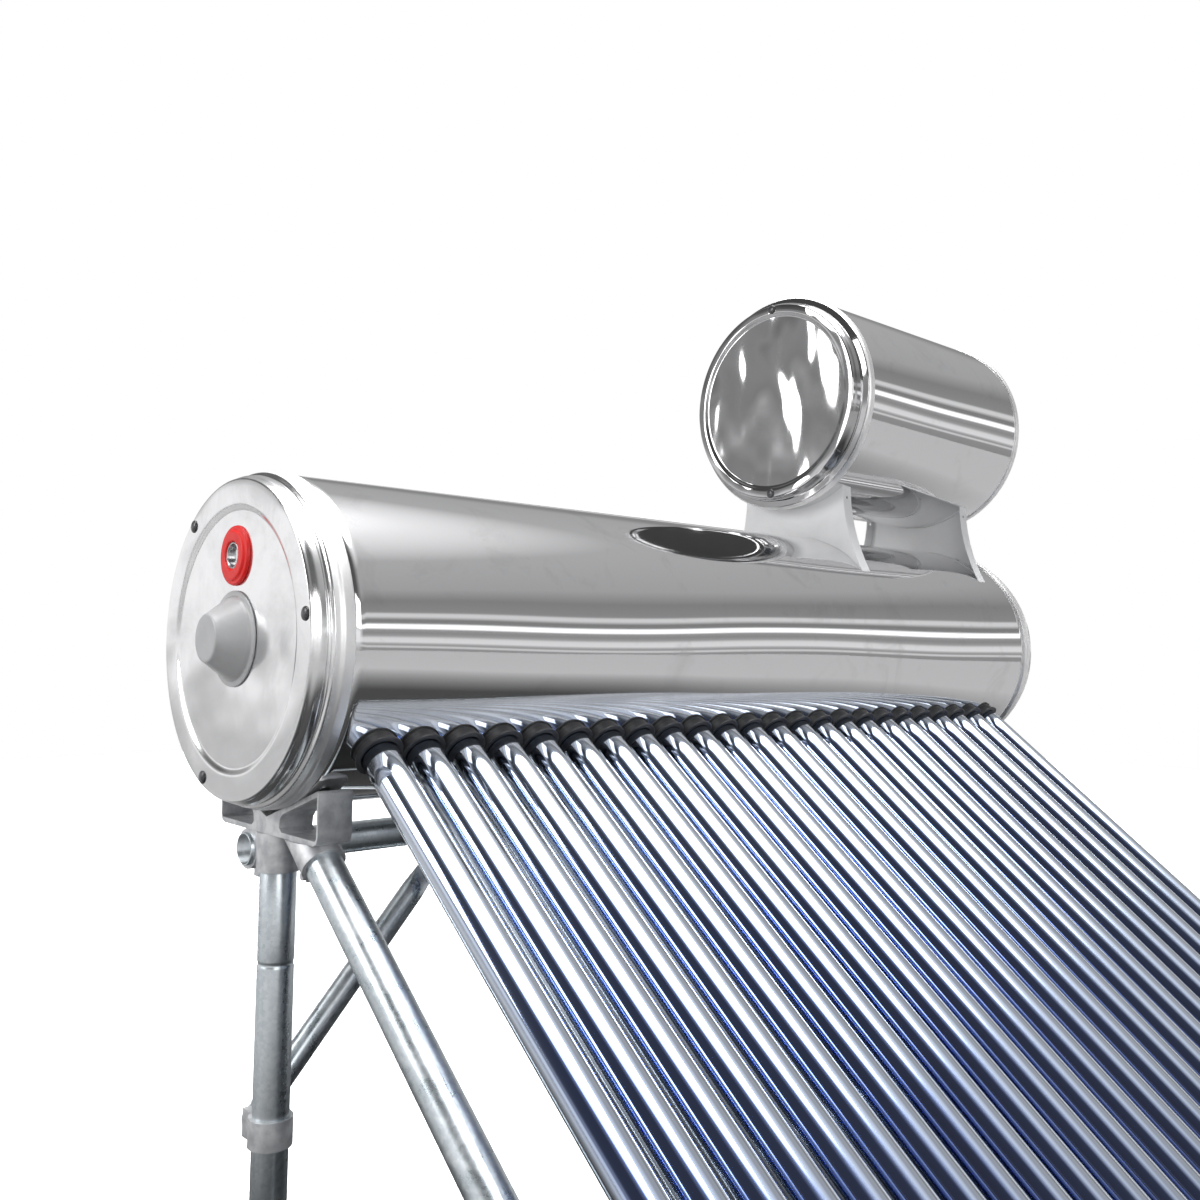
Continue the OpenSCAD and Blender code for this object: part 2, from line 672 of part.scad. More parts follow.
// on a cradle's two arms, +Z out of the arm towards the tank
module at_arms() {
  for (side = [-1, 1]) 
    translate([0, side * bolt_y, arm_z(bolt_y)]) rotate([side * v_angle, 0, 0]) children();
}
bolt_y = cradle_half - 30;
arm_t = 8;
cradle_bolt_r = 5;
clamp_bolt_r = 3;
clamp_bolt_len = 30;
brace_pin_r = 5;
rear_bolt_drop = 68;    // the socket bolts, below the cradle and beyond the leg
module rear_socket() {
  top = cradle_z - fit;
  color("silver") difference() {
    union() {
      translate([0, rear_leg_y, top - 60]) cylinder(r = clamp_r, h = 60);
      translate([0, beam_y, beam_z]) x_rod(beam_r + cast_wall, -25, 25);
      translate([-25, rear_leg_y, beam_z]) cube([50, beam_y - rear_leg_y, top - beam_z]);
      translate([-9, rear_leg_y + 20, top - 78]) cube([18, beam_y - rear_leg_y - 14, 46]);
    }
    translate([0, rear_leg_y, top - 80]) cylinder(r = leg_r + eps, h = 74);
    translate([0, beam_y, beam_z]) x_rod(beam_r + eps, -40, 40);
    translate([0, rear_leg_y + leg_r + 12, top - rear_bolt_drop]) rotate([0, 90, 0])
      cylinder(r = clamp_bolt_r + fit, h = 60, center = true);
  }
}
module front_socket() {
  top = cradle_z - fit;
  s0 = leg_s(top) - 34;
  s1 = s0 + 86;
  color("silver") difference() {
    union() {
      along_tubes(0, leg_drop) translate([0, 0, s0]) cylinder(r = clamp_r, h = s1 - s0);
      along_tubes(0, leg_drop) translate([-8, -clamp_r - 12, s0 - 44]) cube([16, 34, s1 - s0 + 34]);
    }
    along_tubes(0, leg_drop) translate([0, 0, leg_s(top) + 2]) cylinder(r = leg_r + eps, h = 200);
    along_tubes(0, leg_drop) translate([0, 0, leg_s(top) - 58]) cylinder(r = leg_r - pipe_wall, h = 61);
    translate([-100, -400, top]) cube([200, 800, 200]);
    translate([-100, rear_leg_y - clamp_r - 2, top - 200]) cube([200, 200, 200]);
    along_tubes(0, leg_drop) translate([0, -clamp_r - 6, s1 - 18]) rotate([0, 90, 0])
      cylinder(r = clamp_bolt_r + fit, h = 60, center = true);
  }
}
module rear_leg() {
  top = cradle_z - fit - cast_wall;
  color("lightsteelblue") translate([0, rear_leg_y, floor_z + foot_t])
    pipe(leg_r, pipe_wall, top - floor_z - foot_t);
}
module front_leg() {
  s0 = leg_s(cradle_z - fit) + 2;
  color("lightsteelblue") difference() {
    along_tubes(0, leg_drop) translate([0, 0, s0]) pipe(leg_r, pipe_wall, leg_s(floor_z) + 90 - s0);
    translate([-200, -2 * axis_h - 400, floor_z - 200 + foot_t]) cube([400, 3 * axis_h, 200]);
    translate([-100, -400, cradle_z - fit]) cube([200, 800, 200]);
  }
}
module top_beam() {
  color("lightsteelblue") translate([0, beam_y, beam_z])
    x_pipe(beam_r, pipe_wall, support_x - 31, tank_len - support_x + 31);
}
socket_deep = 40;
brace_gap = 4;          // from a leg to the ends of the pipes that meet it
module lower_beam() {
  x0 = support_x + leg_r + brace_gap;
  color("lightsteelblue") translate([0, rear_leg_y, strut_z]) x_pipe(brace_r, pipe_wall, x0, tank_len - x0);
}
strut_front = leg_r / sa + brace_r / tan(tube_angle) + 3;
module side_struts() {
  y0 = leg_y(strut_z) + strut_front;
  y1 = rear_leg_y - leg_r - brace_gap;
  color("lightsteelblue") at_both_sides() translate([0, y1, strut_z]) rotate([90, 0, 0])
    pipe(brace_r, pipe_wall, y1 - y0);
}
module lower_fittings() {
  out_r = brace_r + cast_wall;
  yf = leg_y(strut_z);
  color("silver") at_both_sides() {
    difference() {
      union() {
        translate([0, rear_leg_y, strut_z - 32]) cylinder(r = clamp_r, h = 64);
        translate([0, rear_leg_y, strut_z]) x_rod(out_r, 0, leg_r + brace_gap + socket_deep);
        translate([0, rear_leg_y, strut_z]) rotate([90, 0, 0])
          cylinder(r = out_r, h = leg_r + brace_gap + socket_deep);
      }
      translate([0, rear_leg_y, strut_z - 60]) cylinder(r = leg_r + eps, h = 120);
      translate([0, rear_leg_y, strut_z]) x_rod(brace_r + eps, 0, 200);
      translate([0, rear_leg_y, strut_z]) rotate([90, 0, 0]) cylinder(r = brace_r + eps, h = 200);
    }
    difference() {
      union() {
        along_tubes(0, leg_drop) translate([0, 0, leg_s(strut_z) - 34]) cylinder(r = clamp_r, h = 68);
        translate([0, yf + strut_front + socket_deep, strut_z]) rotate([90, 0, 0])
          cylinder(r = out_r, h = strut_front + socket_deep - leg_r / 2);
      }
      along_tubes(0, leg_drop) translate([0, 0, leg_s(strut_z) - 150]) cylinder(r = leg_r + eps, h = 300);
      translate([0, yf + strut_front + 100, strut_z]) rotate([90, 0, 0])
        cylinder(r = brace_r + eps, h = 100 + eps);
      translate([-100, yf - 300 - leg_r, strut_z - 200]) cube([200, 300, 400]);
    }
  }
}
// knee braces: bolted tabs at both ends, in the plane of the top beam
tab_t = 5;
pin_drop = beam_r + cast_wall + 28;
up_pin_z = beam_z - pin_drop;
low_pin_z = up_pin_z - brace_run * tan(brace_angle);
brace_len = brace_run / cos(brace_angle);
module brace() {
  color("lightsteelblue") translate([0, beam_y, low_pin_z]) rotate([0, -brace_angle, 0]) difference() {
    union() {
      x_pipe(brace_r, pipe_wall, 34, brace_len - 34);
      for (x = [-18, brace_len - 44]) translate([x, -tab_t / 2, 1 - brace_r])
        cube([62, tab_t, 2 * brace_r - 2]);
    }
    for (x = [0, brace_len]) translate([x, 0, 0]) rotate([90, 0, 0])
      cylinder(r = brace_pin_r + fit, h = 60, center = true);
  }
}
module brace_clamps() {
  ear_y = beam_y - tab_t / 2 - fit;
  color("silver") at_both_sides() {
    difference() {
      union() {
        translate([0, rear_leg_y, low_pin_z - 22]) cylinder(r = clamp_r, h = 44);
        translate([-20, rear_leg_y + leg_r, low_pin_z - 22]) cube([40, ear_y - rear_leg_y - leg_r, 44]);
      }
      translate([0, rear_leg_y, low_pin_z - 60]) cylinder(r = leg_r + eps, h = 120);
      translate([0, ear_y + 50, low_pin_z]) rotate([90, 0, 0]) cylinder(r = brace_pin_r + fit, h = 80);
    }
    difference() {
      union() {
        translate([0, beam_y, beam_z]) x_rod(beam_r + cast_wall, brace_run - 22, brace_run + 22);
        translate([brace_run - 22, ear_y - 8, up_pin_z - 18]) cube([44, 8, beam_z - up_pin_z]);
      }
      translate([0, beam_y, beam_z]) x_rod(beam_r + eps, 0, 2 * brace_run);
      translate([brace_run, ear_y + 20, up_pin_z]) rotate([90, 0, 0]) cylinder(r = brace_pin_r + fit, h = 80);
    }
  }
}
module rail_brackets() {
  s0 = tip_s - 150;
  s1 = tip_s - 30;
  n1 = rail_n + rail_t + fit;
  color("silver") at_both_sides() along_tubes() difference() {
    union() {
      translate([0, -leg_drop, s0]) cylinder(r = clamp_r, h = 44);
      rotate([0, -90, 0]) linear_extrude(12, center = true) polygon([
        [s0, -leg_drop], [s0 + 44, -leg_drop], [s1 + 28, -n1 - 5], [s1 + 28, -n1], [s1, -n1], [s1, -n1 - 5]
      ]);
      translate([-30, -n1 - 5, s1 - 4]) cube([60, 5, 36]);
    }
    translate([0, -leg_drop, s0 - 60]) cylinder(r = leg_r + eps, h = 160);
  }
}
module foot(front) {
  hy = front ? foot_half_y : 60;
  difference() {
    union() {
      translate([-foot_half_x, -hy, 0]) cube([2 * foot_half_x, 2 * hy, foot_t]);
      if (front) {
        intersection() {
          translate([0, 0, foot_t]) rotate([90 + tube_angle, 0, 0])
            cylinder(r = clamp_r, h = 160, center = true);
          translate([-100, -100, 0]) cube([200, 200, foot_t + 44]);
        }
      } else cylinder(r = clamp_r, h = foot_t + 50);
    }
    if (front) difference() {
      translate([0, 0, foot_t]) rotate([90 + tube_angle, 0, 0])
        cylinder(r = leg_r + eps, h = 300, center = true);
      translate([-100, -300, -100]) cube([200, 600, 100 + foot_t]);
    } else translate([0, 0, foot_t]) cylinder(r = leg_r + eps, h = 80);
    for (x = [-1, 1]) translate([x * anchor_x, 0, -1]) cylinder(r = anchor_d / 2, h = foot_t + 2);
  }
}
anchor_x = 54;
module feet() {
  color("silver") at_both_sides() {
    translate([0, rear_leg_y, floor_z]) foot(false);
    translate([0, foot_y, floor_z]) foot(true);
  }
}
module stand_bolts() {
  color("silver") {
    at_both_sides() {
      // cradle to tank, hanging under the V arms
      at_arms() {
        translate([0, 0, -arm_t - 22]) cylinder(r = cradle_bolt_r, h = arm_t + 22);
        cylinder(r = 9, h = 2);
        translate([0, 0, -arm_t - 2]) cylinder(r = 11, h = 2);
        translate([0, 0, -arm_t - 10]) cylinder(r = 9, h = 8, $fn = 6);
      }
      // knee brace pins
      translate([0, beam_y + tab_t / 2, low_pin_z]) rotate([90, 0, 0]) {
        translate([0, 0, -6]) cylinder(r = 9, h = 6, $fn = 6);
        cylinder(r = brace_pin_r, h = tab_t + 22);
      }
      translate([brace_run, beam_y + tab_t / 2, up_pin_z]) rotate([90, 0, 0]) {
        translate([0, 0, -6]) cylinder(r = 9, h = 6, $fn = 6);
        cylinder(r = brace_pin_r, h = tab_t + 24);
        translate([0, 0, tab_t + 8 + fit]) cylinder(r = 9, h = 8, $fn = 6);
      }
      // socket clamps
      translate([-clamp_bolt_len / 2, rear_leg_y + leg_r + 12, cradle_z - fit - rear_bolt_drop])
        rotate([0, 90, 0]) clamp_bolt();
      along_tubes(0, leg_drop)
        translate([-clamp_bolt_len / 2, -clamp_r - 6, leg_s(cradle_z - fit) + 34])
        rotate([0, 90, 0]) clamp_bolt();
    }
    // stands to the tank's jacket
    at_stand_screws() {
      translate([0, 0, -6]) cylinder(r = stand_screw_r, h = 7 + stand_t);
      translate([0, 0, stand_t + 2 * fit]) cylinder(r = 5, h = 3);
    }
  }
}
module clamp_bolt() {
  cylinder(r = 6.5, h = 6);
  cylinder(r = clamp_bolt_r, h = clamp_bolt_len);
  translate([0, 0, clamp_bolt_len - 6]) cylinder(r = 6.5, h = 6, $fn = 6);
}

to_floor() tank_jacket();
to_floor() tank_foam();
to_floor() tank_inner();
to_floor() cap(0, true);  // cap_left
to_floor() cap(1, false);  // cap_right
to_floor() cap_rivets();
to_floor() port_rings();
to_floor() port(0);  // port_left
to_floor() port(1);  // port_right
to_floor() element_cover();
to_floor() anode_rod();
to_floor() tube_seals();
to_floor() dust_rings();
to_floor() tubes_row(0);  // tubes_row_1
to_floor() tubes_row(1);  // tubes_row_2
to_floor() tubes_row(2);  // tubes_row_3
to_floor() tubes_row(3);  // tubes_row_4
to_floor() tubes_row(4);  // tubes_row_5
to_floor() tubes_row(5);  // tubes_row_6
to_floor() absorber_tubes();
to_floor() spring_clips();
to_floor() tail_cups();
to_floor() tail_rail();
to_floor() feeder_jacket();
to_floor() feeder_foam_shell();
to_floor() feeder_inner();
to_floor() feeder_cap(0);  // feeder_cap_left
to_floor() feeder_cap(1);  // feeder_cap_right
to_floor() stand_plate(plate_left_x, 1);  // stand_plate_left
to_floor() stand_plate(plate_right_x, -1);  // stand_plate_right
to_floor() link_pipe();
to_floor() link_grommets();
to_floor() float_valve();
to_floor() valve_plunger();
to_floor() valve_pin();
to_floor() float_arm();
to_floor() float_ball();
to_floor() at_side(0) cradle();  // cradle_left
to_floor() at_side(1) cradle();  // cradle_right
to_floor() at_side(0) rear_socket();  // rear_socket_left
to_floor() at_side(1) rear_socket();  // rear_socket_right
to_floor() at_side(0) front_socket();  // front_socket_left
to_floor() at_side(1) front_socket();  // front_socket_right
to_floor() at_side(0) rear_leg();  // rear_leg_left
to_floor() at_side(1) rear_leg();  // rear_leg_right
to_floor() at_side(0) front_leg();  // front_leg_left
to_floor() at_side(1) front_leg();  // front_leg_right
to_floor() top_beam();
to_floor() lower_beam();
to_floor() side_struts();
to_floor() at_side(0) brace();  // brace_left
to_floor() at_side(1) brace();  // brace_right
to_floor() brace_clamps();
to_floor() lower_fittings();
to_floor() rail_brackets();
to_floor() feet();
to_floor() stand_bolts();
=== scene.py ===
# Thermosiphon solar water heater: mirror-bright tank and feeder, glass tubes, galvanised pipe stand.
import math

import bmesh
import bpy
from mathutils import Matrix, Vector


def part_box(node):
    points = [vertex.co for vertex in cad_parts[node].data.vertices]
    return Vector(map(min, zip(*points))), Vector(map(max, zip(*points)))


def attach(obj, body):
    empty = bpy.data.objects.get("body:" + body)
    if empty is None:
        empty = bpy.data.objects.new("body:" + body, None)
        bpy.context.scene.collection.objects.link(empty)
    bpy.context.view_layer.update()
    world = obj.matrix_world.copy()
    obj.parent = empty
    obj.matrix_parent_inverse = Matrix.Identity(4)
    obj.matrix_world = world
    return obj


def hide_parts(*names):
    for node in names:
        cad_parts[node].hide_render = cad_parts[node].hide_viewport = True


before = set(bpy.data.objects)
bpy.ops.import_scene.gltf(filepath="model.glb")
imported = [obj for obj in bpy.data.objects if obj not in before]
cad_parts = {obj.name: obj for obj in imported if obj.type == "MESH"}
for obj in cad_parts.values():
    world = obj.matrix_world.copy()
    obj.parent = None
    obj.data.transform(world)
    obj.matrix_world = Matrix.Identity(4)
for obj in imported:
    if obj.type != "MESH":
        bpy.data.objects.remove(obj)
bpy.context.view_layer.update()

# ---------- camera ----------
# A 34.5 mm lens at tank height, off the tank's left end, with the horizon a little below the middle.
lens_place = Vector((-1.7975, -1.0121, 1.3992))
lens_yaw, lens_pitch, lens_roll = (math.radians(v) for v in (42.324, 3.306, 0.926))
camera = bpy.data.objects.new("camera", bpy.data.cameras.new("camera"))
bpy.context.scene.collection.objects.link(camera)
bpy.context.scene.camera = camera
camera.location = lens_place
turned = Matrix.Rotation(-lens_yaw, 3, "Z") @ Matrix.Rotation(math.pi / 2 + lens_pitch, 3, "X")
camera.rotation_euler = (turned @ Matrix.Rotation(lens_roll, 3, "Z")).to_euler()
camera.data.sensor_width = 36
camera.data.lens = 34.494
camera.data.shift_x = 0.0083
camera.data.shift_y = -0.0178
camera.data.clip_start = 0.05
camera.data.clip_end = 200

# ---------- studio ----------
# A pale floor that is darker where bright metal mirrors it, and two soft lights. The surround is white to
# the eye, but metal mirrors grey and bright bands in it and a bright patch overhead, all by direction only.
scene = bpy.context.scene
scene.view_settings.view_transform = "Standard"
scene.view_settings.look = "None"
floor_mesh = bpy.data.meshes.new("studio_floor")
floor_mesh.from_pydata([(-13, -13, 0), (13, -13, 0), (13, 13, 0), (-13, 13, 0)], [], [(0, 1, 2, 3)])
floor = bpy.data.objects.new("studio_floor", floor_mesh)
scene.collection.objects.link(floor)
floor_paint = bpy.data.materials.new("floor_paint")
floor_paint.use_nodes = True
floor_shader = floor_paint.node_tree.nodes["Principled BSDF"]
floor_seen = floor_paint.node_tree.nodes.new("ShaderNodeLightPath")
floor_shade = floor_paint.node_tree.nodes.new("ShaderNodeMix")
floor_shade.data_type = "RGBA"
floor_shade.inputs["B"].default_value = (0.93, 0.93, 0.93, 1)
floor_spot = floor_paint.node_tree.nodes.new("ShaderNodeTexCoord")
floor_reach = floor_paint.node_tree.nodes.new("ShaderNodeVectorMath")
floor_reach.operation = "LENGTH"
floor_grey = floor_paint.node_tree.nodes.new("ShaderNodeMapRange")
floor_grey.inputs["From Min"].default_value = 1.8
floor_grey.inputs["From Max"].default_value = 4.2
floor_grey.inputs["To Min"].default_value = 0.03
floor_grey.inputs["To Max"].default_value = 0.27
floor_paint.node_tree.links.new(floor_spot.outputs["Object"], floor_reach.inputs[0])
floor_paint.node_tree.links.new(floor_reach.outputs["Value"], floor_grey.inputs["Value"])
floor_paint.node_tree.links.new(floor_grey.outputs[0], floor_shade.inputs["A"])
floor_glow = floor_paint.node_tree.nodes.new("ShaderNodeMath")
floor_glow.operation = "MULTIPLY"
floor_glow.inputs[1].default_value = 0.5
floor_paint.node_tree.links.new(floor_seen.outputs["Is Camera Ray"], floor_shade.inputs["Factor"])
floor_paint.node_tree.links.new(floor_shade.outputs["Result"], floor_shader.inputs["Base Color"])
floor_paint.node_tree.links.new(floor_seen.outputs["Is Camera Ray"], floor_glow.inputs[0])
floor_paint.node_tree.links.new(floor_glow.outputs[0], floor_shader.inputs["Emission Strength"])
floor_shader.inputs["Roughness"].default_value = 0.9
floor_shader.inputs["Specular IOR Level"].default_value = 0.1
floor_shader.inputs["Emission Color"].default_value = (1, 1, 1, 1)
floor_mesh.materials.append(floor_paint)

surround = bpy.data.worlds.new("surround")
scene.world = surround
surround.use_nodes = True
sky = surround.node_tree
sky.nodes.clear()
sky_out = sky.nodes.new("ShaderNodeOutputWorld")
seen = sky.nodes.new("ShaderNodeBackground")
mirrored = sky.nodes.new("ShaderNodeBackground")
either = sky.nodes.new("ShaderNodeMixShader")
path = sky.nodes.new("ShaderNodeLightPath")
where = sky.nodes.new("ShaderNodeTexCoord")
split = sky.nodes.new("ShaderNodeSeparateXYZ")
sky.links.new(where.outputs["Generated"], split.inputs[0])


def height_ramp(stops):
    """Brightness of the surround by how far up a direction points: stops of (upward part, brightness)."""
    lift = sky.nodes.new("ShaderNodeMapRange")
    lift.inputs["From Min"].default_value = -1
    ramp = sky.nodes.new("ShaderNodeValToRGB")
    sky.links.new(split.outputs["Z"], lift.inputs["Value"])
    sky.links.new(lift.outputs[0], ramp.inputs[0])
    bands = ramp.color_ramp.elements
    while len(bands) < len(stops):
        bands.new(0.5)
    for band, (height, shade) in zip(bands, stops):
        band.position = (height + 1) / 2
        band.color = (shade, shade, shade * 1.01, 1)
    return ramp


right_side = height_ramp([
    (-0.12, 0.3), (-0.06, 0.32), (-0.05, 0.9), (-0.03, 0.3), (-0.01, 0.55), (0.0, 0.85), (0.04, 0.8),
    (0.06, 0.4), (0.09, 0.3), (0.125, 0.36), (0.14, 1.5), (0.17, 1.5), (0.185, 0.26), (0.22, 0.24),
    (0.25, 0.75), (0.275, 0.75), (0.29, 0.3), (0.40, 0.26), (0.50, 0.42), (0.72, 0.48), (0.84, 1.0),
    (0.90, 1.5), (0.93, 2.0),
])
left_side = height_ramp([
    (-0.3, 0.35), (-0.1, 0.45), (-0.03, 0.7), (0.0, 0.95), (0.10, 1.0), (0.15, 0.5), (0.20, 0.36),
    (0.26, 0.42), (0.32, 0.2), (0.40, 0.10), (0.80, 0.10), (0.90, 0.5),
])
side = sky.nodes.new("ShaderNodeMapRange")
side.inputs["From Min"].default_value = -0.25
side.inputs["From Max"].default_value = 0.2
sky.links.new(split.outputs["X"], side.inputs["Value"])
both = sky.nodes.new("ShaderNodeMix")
both.data_type = "RGBA"
sky.links.new(side.outputs[0], both.inputs["Factor"])
sky.links.new(left_side.outputs["Color"], both.inputs["A"])
sky.links.new(right_side.outputs["Color"], both.inputs["B"])
sky.links.new(both.outputs["Result"], mirrored.inputs["Color"])
zenith = sky.nodes.new("ShaderNodeMapRange")
zenith.interpolation_type = "SMOOTHSTEP"
zenith.inputs["From Min"].default_value = 0.875
zenith.inputs["From Max"].default_value = 0.905
zenith.inputs["To Min"].default_value = 1.0
zenith.inputs["To Max"].default_value = 7.0
sky.links.new(split.outputs["Z"], zenith.inputs["Value"])
sky.links.new(zenith.outputs[0], mirrored.inputs["Strength"])
seen.inputs["Color"].default_value = (1, 1, 1, 1)
sky.links.new(path.outputs["Is Camera Ray"], either.inputs[0])
sky.links.new(mirrored.outputs[0], either.inputs[1])
sky.links.new(seen.outputs[0], either.inputs[2])
sky.links.new(either.outputs[0], sky_out.inputs["Surface"])


def soft_light(name, place, aim, size, watts):
    """A rectangular lamp at a place, facing the point it aims at."""
    lamp = bpy.data.lights.new(name, "AREA")
    lamp.shape = "RECTANGLE"
    lamp.size, lamp.size_y = size
    lamp.energy = watts
    lit = bpy.data.objects.new(name, lamp)
    lit.location = place
    lit.rotation_euler = (Vector(aim) - Vector(place)).to_track_quat("-Z", "Y").to_euler()
    scene.collection.objects.link(lit)


soft_light("left_light", (-5.0, 2.6, 3.4), (-1.0, 0.6, 1.5), (2.6, 2.2), 90)
soft_light("front_light", (-2.6, -5.0, 3.2), (0, 0, 1.2), (3.5, 2.0), 60)

# ---------- polished jackets ----------
# Mirror-bright stainless sheet, rolled into a tube round the foam and closed with a seam at the back.
# The sheet is thin, so it carries long shallow waves and a few wiping marks.
TURN = 2 * math.pi


def wave_group(name, scale, stretch):
    """Long shallow waves of rolled sheet: a height that changes slowly over the surface."""
    group = bpy.data.node_groups.new(name, "ShaderNodeTree")
    group.interface.new_socket(name="Place", in_out="INPUT", socket_type="NodeSocketVector")
    group.interface.new_socket(name="Height", in_out="OUTPUT", socket_type="NodeSocketFloat")
    start, end = group.nodes.new("NodeGroupInput"), group.nodes.new("NodeGroupOutput")
    drawn = group.nodes.new("ShaderNodeMapping")
    drawn.inputs["Scale"].default_value = stretch
    noise = group.nodes.new("ShaderNodeTexNoise")
    noise.inputs["Scale"].default_value = scale
    noise.inputs["Detail"].default_value = 1.5
    group.links.new(start.outputs["Place"], drawn.inputs["Vector"])
    group.links.new(drawn.outputs[0], noise.inputs["Vector"])
    group.links.new(noise.outputs[0], end.inputs["Height"])
    return group


def wear_group():
    """Wiping marks and dull patches: a mask that is 0 on clean metal and 1 on a mark."""
    group = bpy.data.node_groups.new("handling_wear", "ShaderNodeTree")
    for name, kind in (("Place", "Vector"), ("Scale", "Float"), ("Threshold", "Float")):
        group.interface.new_socket(name=name, in_out="INPUT", socket_type="NodeSocket" + kind)
    group.interface.new_socket(name="Mask", in_out="OUTPUT", socket_type="NodeSocketFloat")
    start, end = group.nodes.new("NodeGroupInput"), group.nodes.new("NodeGroupOutput")
    smears = group.nodes.new("ShaderNodeTexNoise")
    smears.inputs["Detail"].default_value = 6
    smears.inputs["Roughness"].default_value = 0.65
    smears.inputs["Distortion"].default_value = 0.6
    above = group.nodes.new("ShaderNodeMapRange")
    above.inputs["From Max"].default_value = 0.85
    group.links.new(start.outputs["Place"], smears.inputs["Vector"])
    group.links.new(start.outputs["Scale"], smears.inputs["Scale"])
    group.links.new(smears.outputs[0], above.inputs["Value"])
    group.links.new(start.outputs["Threshold"], above.inputs["From Min"])
    group.links.new(above.outputs[0], end.inputs["Mask"])
    return group


wear = wear_group()


def metal(name, color, roughness, worn, waves=None, wave_depth=0.0, wear_scale=9.0, threshold=0.5):
    """A metal finish, rougher and duller where the wear mask says, with waves that bend its reflections."""
    finish = bpy.data.materials.new(name)
    finish.use_nodes = True
    tree = finish.node_tree
    shader = tree.nodes["Principled BSDF"]
    shader.inputs["Metallic"].default_value = 1.0
    place = tree.nodes.new("ShaderNodeTexCoord")
    marks = tree.nodes.new("ShaderNodeGroup")
    marks.node_tree = wear
    marks.inputs["Scale"].default_value = wear_scale
    marks.inputs["Threshold"].default_value = threshold
    tree.links.new(place.outputs["Object"], marks.inputs["Place"])
    rough = tree.nodes.new("ShaderNodeMapRange")
    rough.inputs["To Min"].default_value = roughness
    rough.inputs["To Max"].default_value = worn
    tree.links.new(marks.outputs["Mask"], rough.inputs["Value"])
    tree.links.new(rough.outputs[0], shader.inputs["Roughness"])
    shade = tree.nodes.new("ShaderNodeMix")
    shade.data_type = "RGBA"
    shade.inputs["A"].default_value = (*color, 1)
    shade.inputs["B"].default_value = (*(c * 0.82 for c in color), 1)
    tree.links.new(marks.outputs["Mask"], shade.inputs["Factor"])
    tree.links.new(shade.outputs["Result"], shader.inputs["Base Color"])
    if waves:
        ripple = tree.nodes.new("ShaderNodeGroup")
        ripple.node_tree = waves
        tree.links.new(place.outputs["Object"], ripple.inputs["Place"])
        bump = tree.nodes.new("ShaderNodeBump")
        bump.inputs["Strength"].default_value = 1.0
        bump.inputs["Distance"].default_value = wave_depth
        tree.links.new(ripple.outputs["Height"], bump.inputs["Height"])
        tree.links.new(bump.outputs[0], shader.inputs["Normal"])
    return finish


def piece(name, mesh, finish, slot, *nodes, body="heater"):
    """Puts a mesh in place as an object with a finish, on a body, and hides the CAD nodes it replaces; slot
    is not used.
    """
    made = bpy.data.objects.new(name, mesh)
    scene.collection.objects.link(made)
    mesh.materials.append(finish)
    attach(made, body)
    if nodes:
        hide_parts(*nodes)


def turned_mesh(name, outline, place, outward, steps, closed=False):
    """A mesh turned about the outward axis from an outline of (distance along the axis, radius) points."""
    along = Vector(outward).normalized()
    first = along.orthogonal().normalized()
    second = along.cross(first)
    turns = [TURN * k / steps for k in range(steps)]
    spokes = [first * math.cos(turn) + second * math.sin(turn) for turn in turns]
    work = bmesh.new()
    rings = []
    for reach, radius in outline:
        middle = place + along * reach
        if radius < 1e-6:
            rings.append([work.verts.new(middle)])
        else:
            rings.append([work.verts.new(middle + spoke * radius) for spoke in spokes])
    pairs = list(zip(rings, rings[1:] + rings[:1] if closed else rings[1:]))
    for low, high in pairs:
        for k in range(steps):
            n = (k + 1) % steps
            corners = [low[k % len(low)], low[n % len(low)], high[n % len(high)], high[k % len(high)]]
            face = list(dict.fromkeys(corners))
            if len(face) > 2:
                work.faces.new(face)
    bmesh.ops.recalc_face_normals(work, faces=work.faces)
    mesh = bpy.data.meshes.new(name)
    work.to_mesh(mesh)
    work.free()
    mesh.shade_smooth()
    return mesh


def rounded(points, steps=5):
    """The outline with its corners rounded: a point is (along, radius) or (along, radius, corner radius)."""
    smooth = []
    for i, point in enumerate(points):
        here = Vector(point[:2])
        size = point[2] if len(point) > 2 else 0
        if size == 0 or i in (0, len(points) - 1):
            smooth.append(tuple(here))
            continue
        before, after = Vector(points[i - 1][:2]), Vector(points[i + 1][:2])
        reach = min(size, (before - here).length * 0.49, (after - here).length * 0.49)
        a = here + (before - here).normalized() * reach
        b = here + (after - here).normalized() * reach
        for k in range(steps + 1):
            t = k / steps
            smooth.append(tuple(a * (1 - t) ** 2 + here * 2 * t * (1 - t) + b * t * t))
    return smooth


jacket_low, jacket_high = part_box("tank_jacket")
tank_axis = Vector((0, (jacket_low.y + jacket_high.y) / 2, (jacket_low.z + jacket_high.z) / 2))
jacket_r = (jacket_high.z - jacket_low.z) / 2
feeder_low, feeder_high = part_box("feeder_jacket")
feeder_axis = Vector((0, (feeder_low.y + feeder_high.y) / 2, (feeder_low.z + feeder_high.z) / 2))
feeder_r = (feeder_high.z - feeder_low.z) / 2
long_waves = wave_group("rolled_sheet_waves", 1.6, (0.35, 1.0, 1.0))
mirror_sheet = metal("mirror_sheet", (0.80, 0.80, 0.805), 0.05, 0.13, waves=long_waves,
                     wave_depth=0.030, threshold=0.55)


def jacket_mesh(name, low_x, high_x, axis, radius):
    """A jacket's outer face, with the edge turned in at both ends."""
    bands, edge = 60, 0.001
    outline = [(low_x + edge, radius - edge)]
    outline += [(low_x + (high_x - low_x) * k / bands, radius) for k in range(bands + 1)]
    outline += [(high_x - edge, radius - edge)]
    return turned_mesh(name, outline, axis, (1, 0, 0), steps=256)


